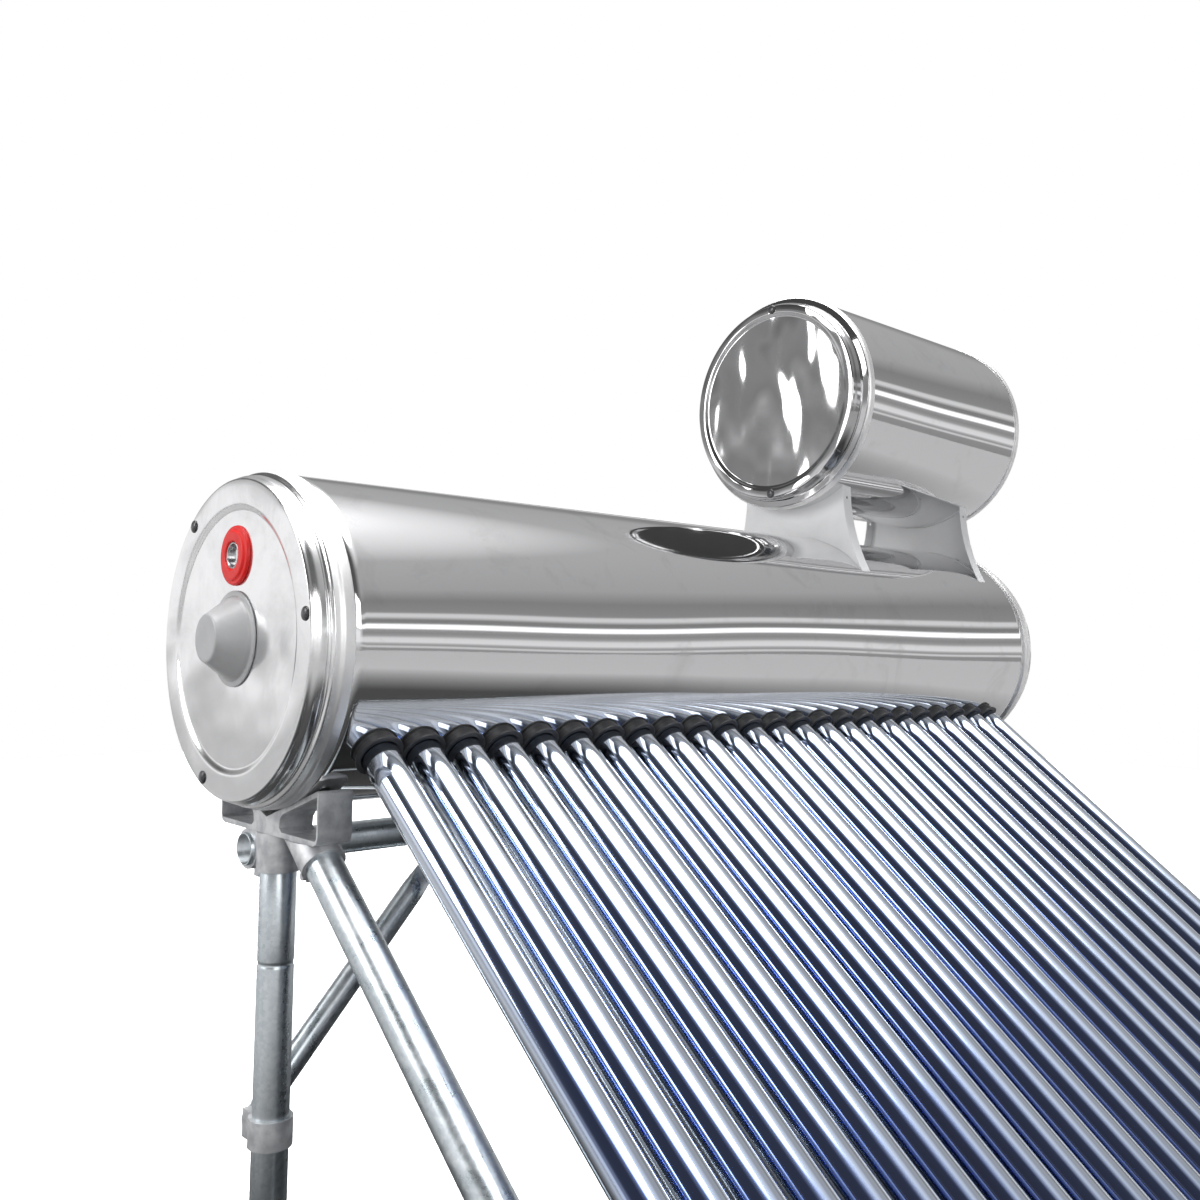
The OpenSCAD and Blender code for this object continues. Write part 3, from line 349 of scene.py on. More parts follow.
piece("jacket_sheet", jacket_mesh("jacket_sheet", jacket_low.x, jacket_high.x, tank_axis, jacket_r),
      mirror_sheet, "mirror_jacket", "tank_jacket")
piece("feeder_sheet", jacket_mesh("feeder_sheet", feeder_low.x, feeder_high.x, feeder_axis, feeder_r),
      mirror_sheet, "mirror_jacket", "feeder_jacket")

# ---------- jacket seams ----------
# Each jacket's sheet laps over itself along the back, a hand's breadth above the middle, and is bonded there.
# The lap shows as one thin step from cap to cap.
def lap_strip(name, low_x, high_x, axis, radius):
    """A thin curved strip along a jacket: its back lies on the sheet and its edges are closed."""
    lap_turn, lap_width, lap_thick, sunk, parts = math.radians(24), 0.014, 0.0007, 0.0003, 4
    turns = [lap_turn + lap_width / radius * k / parts for k in range(parts + 1)]
    work = bmesh.new()
    ends = []
    for x in (low_x, high_x):
        rims = []
        for reach in (radius - sunk, radius + lap_thick):
            spots = [axis + Vector((x, reach * math.cos(t), reach * math.sin(t))) for t in turns]
            rims.append([work.verts.new(spot) for spot in spots])
        ends.append(rims[0] + rims[1][::-1])
    count = len(ends[0])
    for k in range(count):
        work.faces.new((ends[0][k], ends[0][(k + 1) % count], ends[1][(k + 1) % count], ends[1][k]))
    for loop in ends:
        work.faces.new(loop)
    bmesh.ops.recalc_face_normals(work, faces=work.faces)
    mesh = bpy.data.meshes.new(name)
    work.to_mesh(mesh)
    work.free()
    mesh.shade_smooth()
    mesh.set_sharp_from_angle(angle=math.radians(30))
    return mesh


hem = 0.004
piece("jacket_lap", lap_strip("jacket_lap", jacket_low.x + hem, jacket_high.x - hem, tank_axis, jacket_r),
      mirror_sheet, "mirror_jacket")
piece("feeder_lap", lap_strip("feeder_lap", feeder_low.x + hem, feeder_high.x - hem, feeder_axis, feeder_r),
      mirror_sheet, "mirror_jacket")

# ---------- end caps ----------
# Stamped from thin stainless: a recessed panel inside a step, a flat rim, a rolled corner and a skirt with
# two beads that slips over the jacket. The big caps are satin, the feeder's are as bright as a mirror.
satin_waves = wave_group("stamped_panel_waves", 5.0, (1.0, 1.0, 1.0))
dish_waves = wave_group("dented_panel_waves", 6.5, (1.0, 1.0, 0.55))
satin_cap = metal("satin_cap", (0.90, 0.90, 0.905), 0.14, 0.30, waves=satin_waves,
                  wave_depth=0.016, threshold=0.42)
mirror_cap = metal("mirror_cap", (0.52, 0.52, 0.525), 0.06, 0.14, waves=dish_waves, wave_depth=0.018)
white_band = metal("matt_skirt_band", (0.96, 0.96, 0.96), 0.42, 0.5, wear_scale=20)


def cap_outline(face_r, skirt_r, step_r, depth):
    """Distance in from the cap's face, and radius: panel, step, rim, corner, beads and skirt."""
    dish = 0.005
    return rounded([
        (dish + 0.001, 0.0), (dish + 0.001, step_r * 0.3), (dish, step_r * 0.75),
        (dish, step_r - 0.005, 0.003), (0.0006, step_r + 0.002, 0.003), (0.0, step_r + 0.007),
        (0.0, face_r - 0.012), (0.0, face_r - 0.0012, 0.006), (0.006, face_r + 0.0005, 0.002),
        (0.012, face_r + 0.004, 0.003), (0.022, face_r + 0.006, 0.003), (0.025, face_r + 0.003, 0.0015),
        (0.028, face_r + 0.004, 0.002), (0.031, skirt_r - 0.004, 0.002),
        (depth * 0.66, skirt_r - 0.0032, 0.003), (depth * 0.74, skirt_r, 0.002),
        (depth, skirt_r, 0.001), (depth, skirt_r - 0.003),
    ])


cap_low, cap_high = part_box("cap_left")
cap_depth = cap_high.x - cap_low.x
skirt_r = (cap_high.z - cap_low.z) / 2
face_r = jacket_r - 0.012
tank_left, tank_right = cap_low.x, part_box("cap_right")[1].x
lid_low, lid_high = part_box("feeder_cap_left")
feeder_left, feeder_right = lid_low.x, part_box("feeder_cap_right")[1].x
lid_depth = lid_high.x - lid_low.x
lid_skirt_r = (lid_high.z - lid_low.z) / 2
lid_face_r = feeder_r - 0.019
big_cap = cap_outline(face_r, skirt_r, face_r - 0.044, cap_depth)
small_cap = cap_outline(lid_face_r, lid_skirt_r, lid_face_r - 0.022, lid_depth)
skirt_start = 0.033
for name, x, outward, axis, outline, finish, node in (
    ("cap_shell_left", tank_left, 1, tank_axis, big_cap, satin_cap, "cap_left"),
    ("cap_shell_right", tank_right, -1, tank_axis, big_cap, satin_cap, "cap_right"),
    ("feeder_shell_left", feeder_left, 1, feeder_axis, small_cap, mirror_cap, "feeder_cap_left"),
    ("feeder_shell_right", feeder_right, -1, feeder_axis, small_cap, mirror_cap, "feeder_cap_right"),
):
    shell = turned_mesh(name, outline, axis + Vector((x, 0, 0)), (outward, 0, 0), steps=256)
    piece(name, shell, finish, "cap_steel", node)
    shell.materials.append(white_band)
    for face in shell.polygons:
        face.material_index = int(abs(face.center.x - x) > skirt_start)

# ---------- glass tubes ----------
# Borosilicate vacuum tubes: a clear outer glass over an absorber whose sputtered coating is a deep metallic
# blue. They plug into the tank through silicone seals and hang at 38.5 degrees.
tube_angle = math.radians(38.5)
down_tube = Vector((0, -math.cos(tube_angle), -math.sin(tube_angle)))
tube_r, tube_pitch, tube_length, absorber_r = 0.029, 0.076, 1.8, 0.0235
foam_thick, tube_insert = 0.050, 0.018
mouth = jacket_r - foam_thick - tube_insert
tip = mouth + tube_length
coated_glass = bpy.data.materials.new("coated_glass")
coated_glass.use_nodes = True
glass_tree = coated_glass.node_tree
glass = glass_tree.nodes["Principled BSDF"]
glass.inputs["Metallic"].default_value = 1.0
glass.inputs["Roughness"].default_value = 0.1
glass.inputs["Coat Roughness"].default_value = 0.02
glass.inputs["Coat IOR"].default_value = 2.6
glass.inputs["Coat Weight"].default_value = 1.0
glass_place = glass_tree.nodes.new("ShaderNodeTexCoord")
coating = glass_tree.nodes.new("ShaderNodeTexNoise")
coating.inputs["Scale"].default_value = 3.0
coating.inputs["Detail"].default_value = 2.0
# Painted sheen: Layer Weight turns the blue paler towards each tube's outline as seen, while the noise adds a
# faint random tone to the coating.
painted_edge_sheen = glass_tree.nodes.new("ShaderNodeLayerWeight")
painted_edge_sheen.inputs["Blend"].default_value = 0.5
coating_and_sheen = glass_tree.nodes.new("ShaderNodeMath")
coating_and_sheen.operation = "MULTIPLY_ADD"
coating_and_sheen.inputs[1].default_value = 0.12
coating_sheen_ramp = glass_tree.nodes.new("ShaderNodeValToRGB")
coating_sheen_stops = coating_sheen_ramp.color_ramp.elements
coating_sheen_stops.new(0.5)
coating_sheen_stops.new(0.7)
for stop, (reach, color) in zip(coating_sheen_stops, (
    (0.04, (0.015, 0.06, 0.30)), (0.12, (0.07, 0.16, 0.50)),
    (0.24, (0.38, 0.48, 0.68)), (0.5, (0.62, 0.69, 0.80)),
)):
    stop.position = reach
    stop.color = (*color, 1)
glass_tree.links.new(glass_place.outputs["Object"], coating.inputs["Vector"])
glass_tree.links.new(coating.outputs[0], coating_and_sheen.inputs[0])
glass_tree.links.new(painted_edge_sheen.outputs["Facing"], coating_and_sheen.inputs[2])
glass_tree.links.new(coating_and_sheen.outputs[0], coating_sheen_ramp.inputs[0])
glass_tree.links.new(coating_sheen_ramp.outputs[0], glass.inputs["Base Color"])
getter_reach = 0.11
tube_outline = [(mouth, absorber_r), (mouth, tube_r)]
tube_outline += [(mouth + (tip - getter_reach - mouth) * k / 12, tube_r) for k in range(1, 13)]
tube_outline += [(tip - tube_r, tube_r)]
for k in range(1, 8):
    turn = math.pi * k / 16
    tube_outline += [(tip - tube_r + math.sin(turn) * tube_r, math.cos(turn) * tube_r)]
tube_outline += [(tip, 0.0)]


def joined(name, meshes):
    """Several meshes made into one."""
    work = bmesh.new()
    for mesh in meshes:
        work.from_mesh(mesh)
        bpy.data.meshes.remove(mesh)
    whole = bpy.data.meshes.new(name)
    work.to_mesh(whole)
    work.free()
    whole.shade_smooth()
    return whole


getter_mirror = metal("getter_mirror", (0.75, 0.76, 0.78), 0.08, 0.2)
tube_feet = []
for row in range(1, 7):
    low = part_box(f"tubes_row_{row}")[0]
    feet = [Vector((low.x + tube_r + k * tube_pitch, tank_axis.y, tank_axis.z)) for k in range(4)]
    tube_feet += feet
    meshes = [turned_mesh("tube", tube_outline, foot, down_tube, steps=72) for foot in feet]
    row_mesh = joined(f"glass_tubes_{row}", meshes)
    piece(f"glass_tubes_{row}", row_mesh, coated_glass, "tube_glass", f"tubes_row_{row}")
    row_mesh.materials.append(getter_mirror)
    for face in row_mesh.polygons:
        face.material_index = int((face.center - feet[0]).dot(down_tube) > tip - getter_reach)

# ---------- dust rings ----------
# Moulded black rubber collars round each tube: a flange that lies on the jacket and a lip that grips the
# glass.
rubber = bpy.data.materials.new("black_rubber")
rubber.use_nodes = True
rubber_tree = rubber.node_tree
rubber_shader = rubber_tree.nodes["Principled BSDF"]
rubber_shader.inputs["Roughness"].default_value = 0.42
rubber_place = rubber_tree.nodes.new("ShaderNodeTexCoord")
dust = rubber_tree.nodes.new("ShaderNodeGroup")
dust.node_tree = wear
dust.inputs["Scale"].default_value = 25
dust.inputs["Threshold"].default_value = 0.4
rubber_shade = rubber_tree.nodes.new("ShaderNodeMix")
rubber_shade.data_type = "RGBA"
rubber_shade.inputs["A"].default_value = (0.034, 0.036, 0.039, 1)
rubber_shade.inputs["B"].default_value = (0.07, 0.07, 0.072, 1)
rubber_tree.links.new(rubber_place.outputs["Object"], dust.inputs["Place"])
rubber_tree.links.new(dust.outputs["Mask"], rubber_shade.inputs["Factor"])
rubber_tree.links.new(rubber_shade.outputs["Result"], rubber_shader.inputs["Base Color"])
ring_r, ring_top = 0.0377, jacket_r + 0.011
ring_outline = rounded([
    (jacket_r - 0.012, 0.0292), (ring_top - 0.0004, 0.0292), (ring_top, 0.0297), (ring_top, ring_r, 0.001),
    (ring_top - 0.0034, ring_r, 0.001), (ring_top - 0.0042, 0.0340, 0.0015), (jacket_r - 0.006, 0.0332),
    (jacket_r - 0.012, 0.0332),
])
ring_meshes = [turned_mesh("ring", ring_outline, foot, down_tube, steps=64) for foot in tube_feet]
piece("rubber_dust_rings", joined("rubber_dust_rings", ring_meshes), rubber, "dark_rubber", "dust_rings")

# ---------- port rings and sockets ----------
# Red silicone rings seal the foam round each threaded stainless socket, which is welded to the inner tank.
# Behind the thread a flat web breaks up the cold inflow.
def moulded(name, color, worn, roughness, scale=18.0, grain=0.0, coat=0.0):
    """A moulded rubber or plastic that fades and turns rougher where dust lies, with a fine surface grain."""
    finish = bpy.data.materials.new(name)
    finish.use_nodes = True
    tree = finish.node_tree
    shader = tree.nodes["Principled BSDF"]
    shader.inputs["Coat Weight"].default_value = coat
    place = tree.nodes.new("ShaderNodeTexCoord")
    marks = tree.nodes.new("ShaderNodeGroup")
    marks.node_tree = wear
    marks.inputs["Scale"].default_value = scale
    marks.inputs["Threshold"].default_value = 0.42
    tree.links.new(place.outputs["Object"], marks.inputs["Place"])
    shade = tree.nodes.new("ShaderNodeMix")
    shade.data_type = "RGBA"
    shade.inputs["A"].default_value = (*color, 1)
    shade.inputs["B"].default_value = (*worn, 1)
    tree.links.new(marks.outputs["Mask"], shade.inputs["Factor"])
    tree.links.new(shade.outputs["Result"], shader.inputs["Base Color"])
    rough = tree.nodes.new("ShaderNodeMapRange")
    rough.inputs["To Min"].default_value = roughness
    rough.inputs["To Max"].default_value = min(1, roughness + 0.25)
    tree.links.new(marks.outputs["Mask"], rough.inputs["Value"])
    tree.links.new(rough.outputs[0], shader.inputs["Roughness"])
    if grain:
        speckle = tree.nodes.new("ShaderNodeTexNoise")
        speckle.inputs["Scale"].default_value = 900
        bump = tree.nodes.new("ShaderNodeBump")
        bump.inputs["Strength"].default_value = grain
        bump.inputs["Distance"].default_value = 0.0004
        tree.links.new(place.outputs["Object"], speckle.inputs["Vector"])
        tree.links.new(speckle.outputs[0], bump.inputs["Height"])
        tree.links.new(bump.outputs[0], shader.inputs["Normal"])
    return finish


def loose_parts(node):
    """The lowest and highest corners of each separate solid in a CAD node, from left to right."""
    work = bmesh.new()
    work.from_mesh(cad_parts[node].data)
    bmesh.ops.remove_doubles(work, verts=work.verts, dist=1e-6)
    left, boxes = set(work.verts), []
    while left:
        group, edge = set(), [left.pop()]
        while edge:
            here = edge.pop()
            group.add(here)
            for line in here.link_edges:
                other = line.other_vert(here)
                if other in left:
                    left.discard(other)
                    edge.append(other)
        spots = [v.co for v in group]
        boxes.append((Vector(map(min, *spots)), Vector(map(max, *spots))))
    work.free()
    return sorted(boxes, key=lambda b: tuple(b[0]))


red_silicone = moulded("red_silicone", (0.86, 0.010, 0.008), (0.72, 0.02, 0.015), 0.36,
                       scale=30, grain=0.1)
port_ring_outline = rounded([
    (0.0, 0.0214), (0.0075, 0.0216), (0.009, 0.0235, 0.001), (0.009, 0.0375, 0.0025),
    (0.0055, 0.0400, 0.0012), (0.0055, 0.0455, 0.002), (0.0, 0.047, 0.001), (0.0, 0.03),
])
ring_meshes = []
for low, high in loose_parts("port_rings"):
    centre = (low + high) / 2
    outward = -1 if centre.x < 0 else 1
    root = Vector((high.x if outward < 0 else low.x, centre.y, centre.z))
    ring_meshes.append(turned_mesh("ring", port_ring_outline, root, (outward, 0, 0), steps=96))
piece("red_port_rings", joined("red_port_rings", ring_meshes), red_silicone, "red_silicone", "port_rings")

welded_steel = metal("welded_steel", (0.62, 0.62, 0.63), 0.22, 0.4, wear_scale=40)
socket_bore, thread_pitch, thread_depth = 0.01665, 0.0026, 0.0011
thread_start, socket_depth, web_depth = -0.0235, 0.052, 0.034
for end, outward in (("left", -1), ("right", 1)):
    low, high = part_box(f"port_{end}")
    tip_x = low.x if outward < 0 else high.x
    root = Vector((tip_x, (low.y + high.y) / 2, (low.z + high.z) / 2))
    socket_r = (high.z - low.z) / 2
    socket_outline = [
        (0.0, socket_bore + 0.0012), (0.0, socket_r - 0.0008), (-0.0008, socket_r), (-socket_depth, socket_r),
        (-socket_depth, socket_bore + 0.0006), (-0.024, socket_bore + 0.0006),
    ]
    for turn in range(9):
        crest = thread_start + turn * thread_pitch
        socket_outline += [(crest, socket_bore), (crest + thread_pitch / 2, socket_bore + thread_depth)]
    socket = turned_mesh("socket", socket_outline, root, (outward, 0, 0), steps=96, closed=True)
    web_place = Matrix.Translation(root - Vector((outward * web_depth, 0, 0)))
    web_size = Matrix.Diagonal((0.016, 2 * socket_bore + 0.002, 0.003, 1))
    web = bmesh.new()
    bmesh.ops.create_cube(web, size=1.0, matrix=web_place @ web_size)
    bmesh.ops.bevel(web, geom=web.edges[:], offset=0.0008, segments=2, affect="EDGES")
    web_mesh = bpy.data.meshes.new("web")
    web.to_mesh(web_mesh)
    web.free()
    name = f"port_socket_{end}"
    piece(name, joined(name, [socket, web_mesh]), welded_steel, "inner_steel", f"port_{end}")

# ---------- element cover ----------
# A moulded cover, painted satin grey, that clips over the electric element's opening in the left cap.
cover_low, cover_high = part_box("element_cover")
cover_r = (cover_high.z - cover_low.z) / 2
cover_out = cover_high.x - cover_low.x
satin_grey = moulded("satin_grey_cover", (0.50, 0.505, 0.51), (0.42, 0.425, 0.43), 0.28,
                     scale=14, grain=0.12, coat=0.4)
cover_outline = rounded([
    (0.0, cover_r - 0.012), (0.0, cover_r, 0.0008), (0.0026, cover_r, 0.0012),
    (0.0032, cover_r - 0.0085, 0.002), (0.0075, cover_r - 0.0105, 0.002),
    (cover_out - 0.006, cover_r / 2 + 0.0030, 0.003), (cover_out, cover_r / 2 - 0.0005, 0.003),
    (cover_out, cover_r / 2 - 0.006), (cover_out, 0.0),
])
cover_root = Vector((cover_high.x, tank_axis.y, tank_axis.z))
cover_mesh = turned_mesh("element_cover_shell", cover_outline, cover_root, (-1, 0, 0), steps=128)
piece("element_cover_shell", cover_mesh, satin_grey, "grey_plastic", "element_cover")

# ---------- push rivets ----------
# Dark plastic push rivets hold each cap to the foam and jacket: three on a big cap, two on a feeder cap.
dark_plastic = moulded("dark_push_plastic", (0.035, 0.035, 0.04), (0.09, 0.09, 0.09), 0.22,
                       scale=60, coat=0.3)
rivet_outline = [
    (-0.010, 0.0), (-0.010, 0.003), (0.0, 0.003), (0.0, 0.0098), (0.0008, 0.0104), (0.0020, 0.0096),
    (0.0034, 0.0068), (0.0041, 0.0036), (0.0043, 0.0),
]
head_height = 0.003
rivet_meshes = []
for low, high in loose_parts("cap_rivets"):
    centre = (low + high) / 2
    big_tank = centre.z < tank_axis.z + jacket_r
    middle_x = 0 if big_tank else (feeder_left + feeder_right) / 2
    outward = -1 if centre.x < middle_x else 1
    seat_x = low.x + head_height if outward < 0 else high.x - head_height
    seat = Vector((seat_x, centre.y, centre.z))
    rivet_meshes.append(turned_mesh("rivet", rivet_outline, seat, (outward, 0, 0), steps=32))
piece("push_rivets", joined("push_rivets", rivet_meshes), dark_plastic, "dark_plastic", "cap_rivets")

# ---------- feeder stands ----------
# Two folded sheet-steel saddles, powder coated white, screwed to the big jacket. The feeder sits in their
# tops.
coat_white = moulded("white_powder_coat", (0.86, 0.865, 0.87), (0.76, 0.765, 0.77), 0.45, scale=7, grain=0.5)


def soft_edged(node, width, name, finish, slot):
    """A CAD node's shape with its sharp edges rounded off, as a casting's or a pressing's are."""
    work = bmesh.new()
    work.from_mesh(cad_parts[node].data)
    bmesh.ops.remove_doubles(work, verts=work.verts, dist=2e-6)
    bmesh.ops.dissolve_limit(work, angle_limit=math.radians(1.0), verts=work.verts, edges=work.edges)
    sharp = [e for e in work.edges if len(e.link_faces) == 2 and e.calc_face_angle() > math.radians(35)]
    bmesh.ops.bevel(work, geom=sharp, offset=width, segments=3, profile=0.6, affect="EDGES",
                    clamp_overlap=True)
    bmesh.ops.triangulate(work, faces=[f for f in work.faces if len(f.verts) > 4])
    mesh = bpy.data.meshes.new(name)
    work.to_mesh(mesh)
    work.free()
    mesh.shade_smooth()
    mesh.set_sharp_from_angle(angle=math.radians(40))
    piece(name, mesh, finish, slot, node)


for side in ("left", "right"):
    soft_edged(f"stand_plate_{side}", 0.0006, f"folded_stand_{side}", coat_white, "white_sheet")

# ---------- cast cradles, sockets and clamps ----------
# Sand-cast alloy, blasted and left bare: pale, matt, slightly pitted, with rounded edges.
def cast_grain_group():
    """Sand-cast skin: coarse swells with fine pits, as a height and as a mask of the darker hollows."""
    group = bpy.data.node_groups.new("cast_grain", "ShaderNodeTree")
    group.interface.new_socket(name="Place", in_out="INPUT", socket_type="NodeSocketVector")
    group.interface.new_socket(name="Height", in_out="OUTPUT", socket_type="NodeSocketFloat")
    group.interface.new_socket(name="Hollows", in_out="OUTPUT", socket_type="NodeSocketFloat")
    start, end = group.nodes.new("NodeGroupInput"), group.nodes.new("NodeGroupOutput")
    swell = group.nodes.new("ShaderNodeTexNoise")
    swell.inputs["Scale"].default_value = 45
    swell.inputs["Detail"].default_value = 4
    pits = group.nodes.new("ShaderNodeTexNoise")
    pits.inputs["Scale"].default_value = 420
    pits.inputs["Detail"].default_value = 3
    total = group.nodes.new("ShaderNodeMath")
    total.operation = "MULTIPLY_ADD"
    total.inputs[1].default_value = 0.35
    group.links.new(start.outputs["Place"], swell.inputs["Vector"])
    group.links.new(start.outputs["Place"], pits.inputs["Vector"])
    group.links.new(pits.outputs[0], total.inputs[0])
    group.links.new(swell.outputs[0], total.inputs[2])
    group.links.new(total.outputs[0], end.inputs["Height"])
    hollows = group.nodes.new("ShaderNodeMapRange")
    hollows.inputs["From Min"].default_value = 0.62
    hollows.inputs["From Max"].default_value = 0.35
    group.links.new(swell.outputs[0], hollows.inputs["Value"])
    group.links.new(hollows.outputs[0], end.inputs["Hollows"])
    return group


cast_skin = bpy.data.materials.new("cast_alloy")
cast_skin.use_nodes = True
cast_tree = cast_skin.node_tree
cast_shader = cast_tree.nodes["Principled BSDF"]
cast_shader.inputs["Metallic"].default_value = 0.65
cast_shader.inputs["Roughness"].default_value = 0.46
cast_place = cast_tree.nodes.new("ShaderNodeTexCoord")
grain = cast_tree.nodes.new("ShaderNodeGroup")
grain.node_tree = cast_grain_group()
cast_shade = cast_tree.nodes.new("ShaderNodeMix")
cast_shade.data_type = "RGBA"
cast_shade.inputs["A"].default_value = (0.80, 0.81, 0.82, 1)
cast_shade.inputs["B"].default_value = (0.56, 0.57, 0.59, 1)
cast_bump = cast_tree.nodes.new("ShaderNodeBump")
cast_bump.inputs["Strength"].default_value = 0.5
cast_bump.inputs["Distance"].default_value = 0.0012
cast_tree.links.new(cast_place.outputs["Object"], grain.inputs["Place"])
cast_tree.links.new(grain.outputs["Hollows"], cast_shade.inputs["Factor"])
cast_tree.links.new(cast_shade.outputs["Result"], cast_shader.inputs["Base Color"])
cast_tree.links.new(grain.outputs["Height"], cast_bump.inputs["Height"])
cast_tree.links.new(cast_bump.outputs[0], cast_shader.inputs["Normal"])


for node in ("cradle_left", "cradle_right", "rear_socket_left", "rear_socket_right", "front_socket_left",
             "front_socket_right", "brace_clamps", "lower_fittings", "rail_brackets", "feet"):
    edge_r = 0.003 if "cradle" in node else 0.002
    soft_edged(node, edge_r, node.replace("_", "_cast_", 1), cast_skin, "cast_alloy")

# ---------- galvanised pipes ----------
# Welded steel tube dipped in zinc: blue-grey, with faint crystals, drawing lines along each pipe and dull
# runs.
def zinc_group():
    """Zinc crystals: each cell has its own brightness, from 0 to 1."""
    group = bpy.data.node_groups.new("zinc_crystals", "ShaderNodeTree")
    group.interface.new_socket(name="Place", in_out="INPUT", socket_type="NodeSocketVector")
    group.interface.new_socket(name="Brightness", in_out="OUTPUT", socket_type="NodeSocketFloat")
    start, end = group.nodes.new("NodeGroupInput"), group.nodes.new("NodeGroupOutput")
    cells = group.nodes.new("ShaderNodeTexVoronoi")
    cells.inputs["Scale"].default_value = 170
    cells.inputs["Randomness"].default_value = 1.0
    grey = group.nodes.new("ShaderNodeSeparateColor")
    group.links.new(start.outputs["Place"], cells.inputs["Vector"])
    group.links.new(cells.outputs["Color"], grey.inputs[0])
    group.links.new(grey.outputs[0], end.inputs["Brightness"])
    return group


zinc = zinc_group()


def galvanised(name, stretch, slope=0.0):
    """Zinc-dipped steel whose dull runs are stretched along the pipe, which may slope about X."""
    finish = bpy.data.materials.new(name)
    finish.use_nodes = True
    tree = finish.node_tree
    shader = tree.nodes["Principled BSDF"]
    shader.inputs["Metallic"].default_value = 0.95
    place = tree.nodes.new("ShaderNodeTexCoord")
    crystals = tree.nodes.new("ShaderNodeGroup")
    crystals.node_tree = zinc
    tree.links.new(place.outputs["Object"], crystals.inputs["Place"])
    drawn = tree.nodes.new("ShaderNodeMapping")
    drawn.inputs["Rotation"].default_value = (slope, 0, 0)
    drawn.inputs["Scale"].default_value = stretch
    lines = tree.nodes.new("ShaderNodeTexNoise")
    lines.inputs["Scale"].default_value = 40
    lines.inputs["Detail"].default_value = 5
    tree.links.new(place.outputs["Object"], drawn.inputs["Vector"])
    tree.links.new(drawn.outputs[0], lines.inputs["Vector"])
    both = tree.nodes.new("ShaderNodeMath")
    both.operation = "MULTIPLY_ADD"
    both.inputs[1].default_value = 0.16
    tree.links.new(crystals.outputs["Brightness"], both.inputs[0])
    tree.links.new(lines.outputs[0], both.inputs[2])
    shade = tree.nodes.new("ShaderNodeValToRGB")
    shade.color_ramp.elements[0].position = 0.35
    shade.color_ramp.elements[0].color = (0.54, 0.61, 0.65, 1)
    shade.color_ramp.elements[1].position = 0.8
    shade.color_ramp.elements[1].color = (0.86, 0.91, 0.94, 1)
    rough = tree.nodes.new("ShaderNodeMapRange")
    rough.inputs["From Min"].default_value = 0.4
    rough.inputs["To Min"].default_value = 0.26
    rough.inputs["To Max"].default_value = 0.44
    bump = tree.nodes.new("ShaderNodeBump")
    bump.inputs["Strength"].default_value = 0.15
    bump.inputs["Distance"].default_value = 0.0002
    tree.links.new(both.outputs[0], shade.inputs[0])
    tree.links.new(shade.outputs[0], shader.inputs["Base Color"])
    tree.links.new(both.outputs[0], rough.inputs["Value"])
    tree.links.new(rough.outputs[0], shader.inputs["Roughness"])
    tree.links.new(lines.outputs[0], bump.inputs["Height"])
    tree.links.new(bump.outputs[0], shader.inputs["Normal"])
    return finish


def finish_nodes(finish, *nodes):
    """Gives CAD nodes that keep their own mesh a finish."""
    for node in nodes:
        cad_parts[node].data.materials.clear()
        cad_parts[node].data.materials.append(finish)


upright_zinc = galvanised("zinc_upright", (1, 1, 0.06))
sloping_zinc = galvanised("zinc_sloping", (1, 0.06, 1), slope=tube_angle)
level_zinc = galvanised("zinc_level", (0.06, 1, 1))
pipe_wall, edge_cut = 0.0025, 0.0005
swage_z, swage_deep = 0.895, 0.0016
for side in ("left", "right"):
    low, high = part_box(f"rear_leg_{side}")
    leg_r, leg_reach, swage = (high.x - low.x) / 2, high.z - low.z, swage_z - low.z
    bore = leg_r - pipe_wall
    leg_outline = [(0.0, bore), (0.0, leg_r - edge_cut), (edge_cut, leg_r)]
    for k in range(-4, 5):
        leg_outline += [(swage + k * 0.0015, leg_r - swage_deep * math.cos(k * math.pi / 8) ** 2)]
    leg_outline += [(leg_reach - edge_cut, leg_r), (leg_reach, leg_r - edge_cut), (leg_reach, bore)]
    foot = Vector(((low.x + high.x) / 2, (low.y + high.y) / 2, low.z))
    name = f"rear_pipe_{side}"
    leg_mesh = turned_mesh(name, leg_outline, foot, (0, 0, 1), steps=96, closed=True)
    piece(name, leg_mesh, upright_zinc, "galvanised", f"rear_leg_{side}")

beam_low, beam_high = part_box("top_beam")
beam_r = (beam_high.z - beam_low.z) / 2
beam_bore = beam_r - pipe_wall
beam_reach = beam_high.x - beam_low.x
beam_outline = [(0.0, beam_bore), (0.0, beam_r - edge_cut), (edge_cut, beam_r),
                (beam_reach - edge_cut, beam_r), (beam_reach, beam_r - edge_cut), (beam_reach, beam_bore)]
beam_root = Vector((beam_low.x, (beam_low.y + beam_high.y) / 2, (beam_low.z + beam_high.z) / 2))
beam_mesh = turned_mesh("top_pipe", beam_outline, beam_root, (1, 0, 0), steps=96, closed=True)
piece("top_pipe", beam_mesh, level_zinc, "galvanised", "top_beam")

# knee braces: pipe pressed flat at both ends, where the bolts go through
brace_angle, brace_run, brace_r = math.radians(47.7), 0.334, 0.021
tab_half, tab_nose, nose_rings, tab_flat, ring_gap = 0.0025, 0.018, 0.0175, 0.026, 0.006
pressed_to, opened_by = 0.040, 0.050


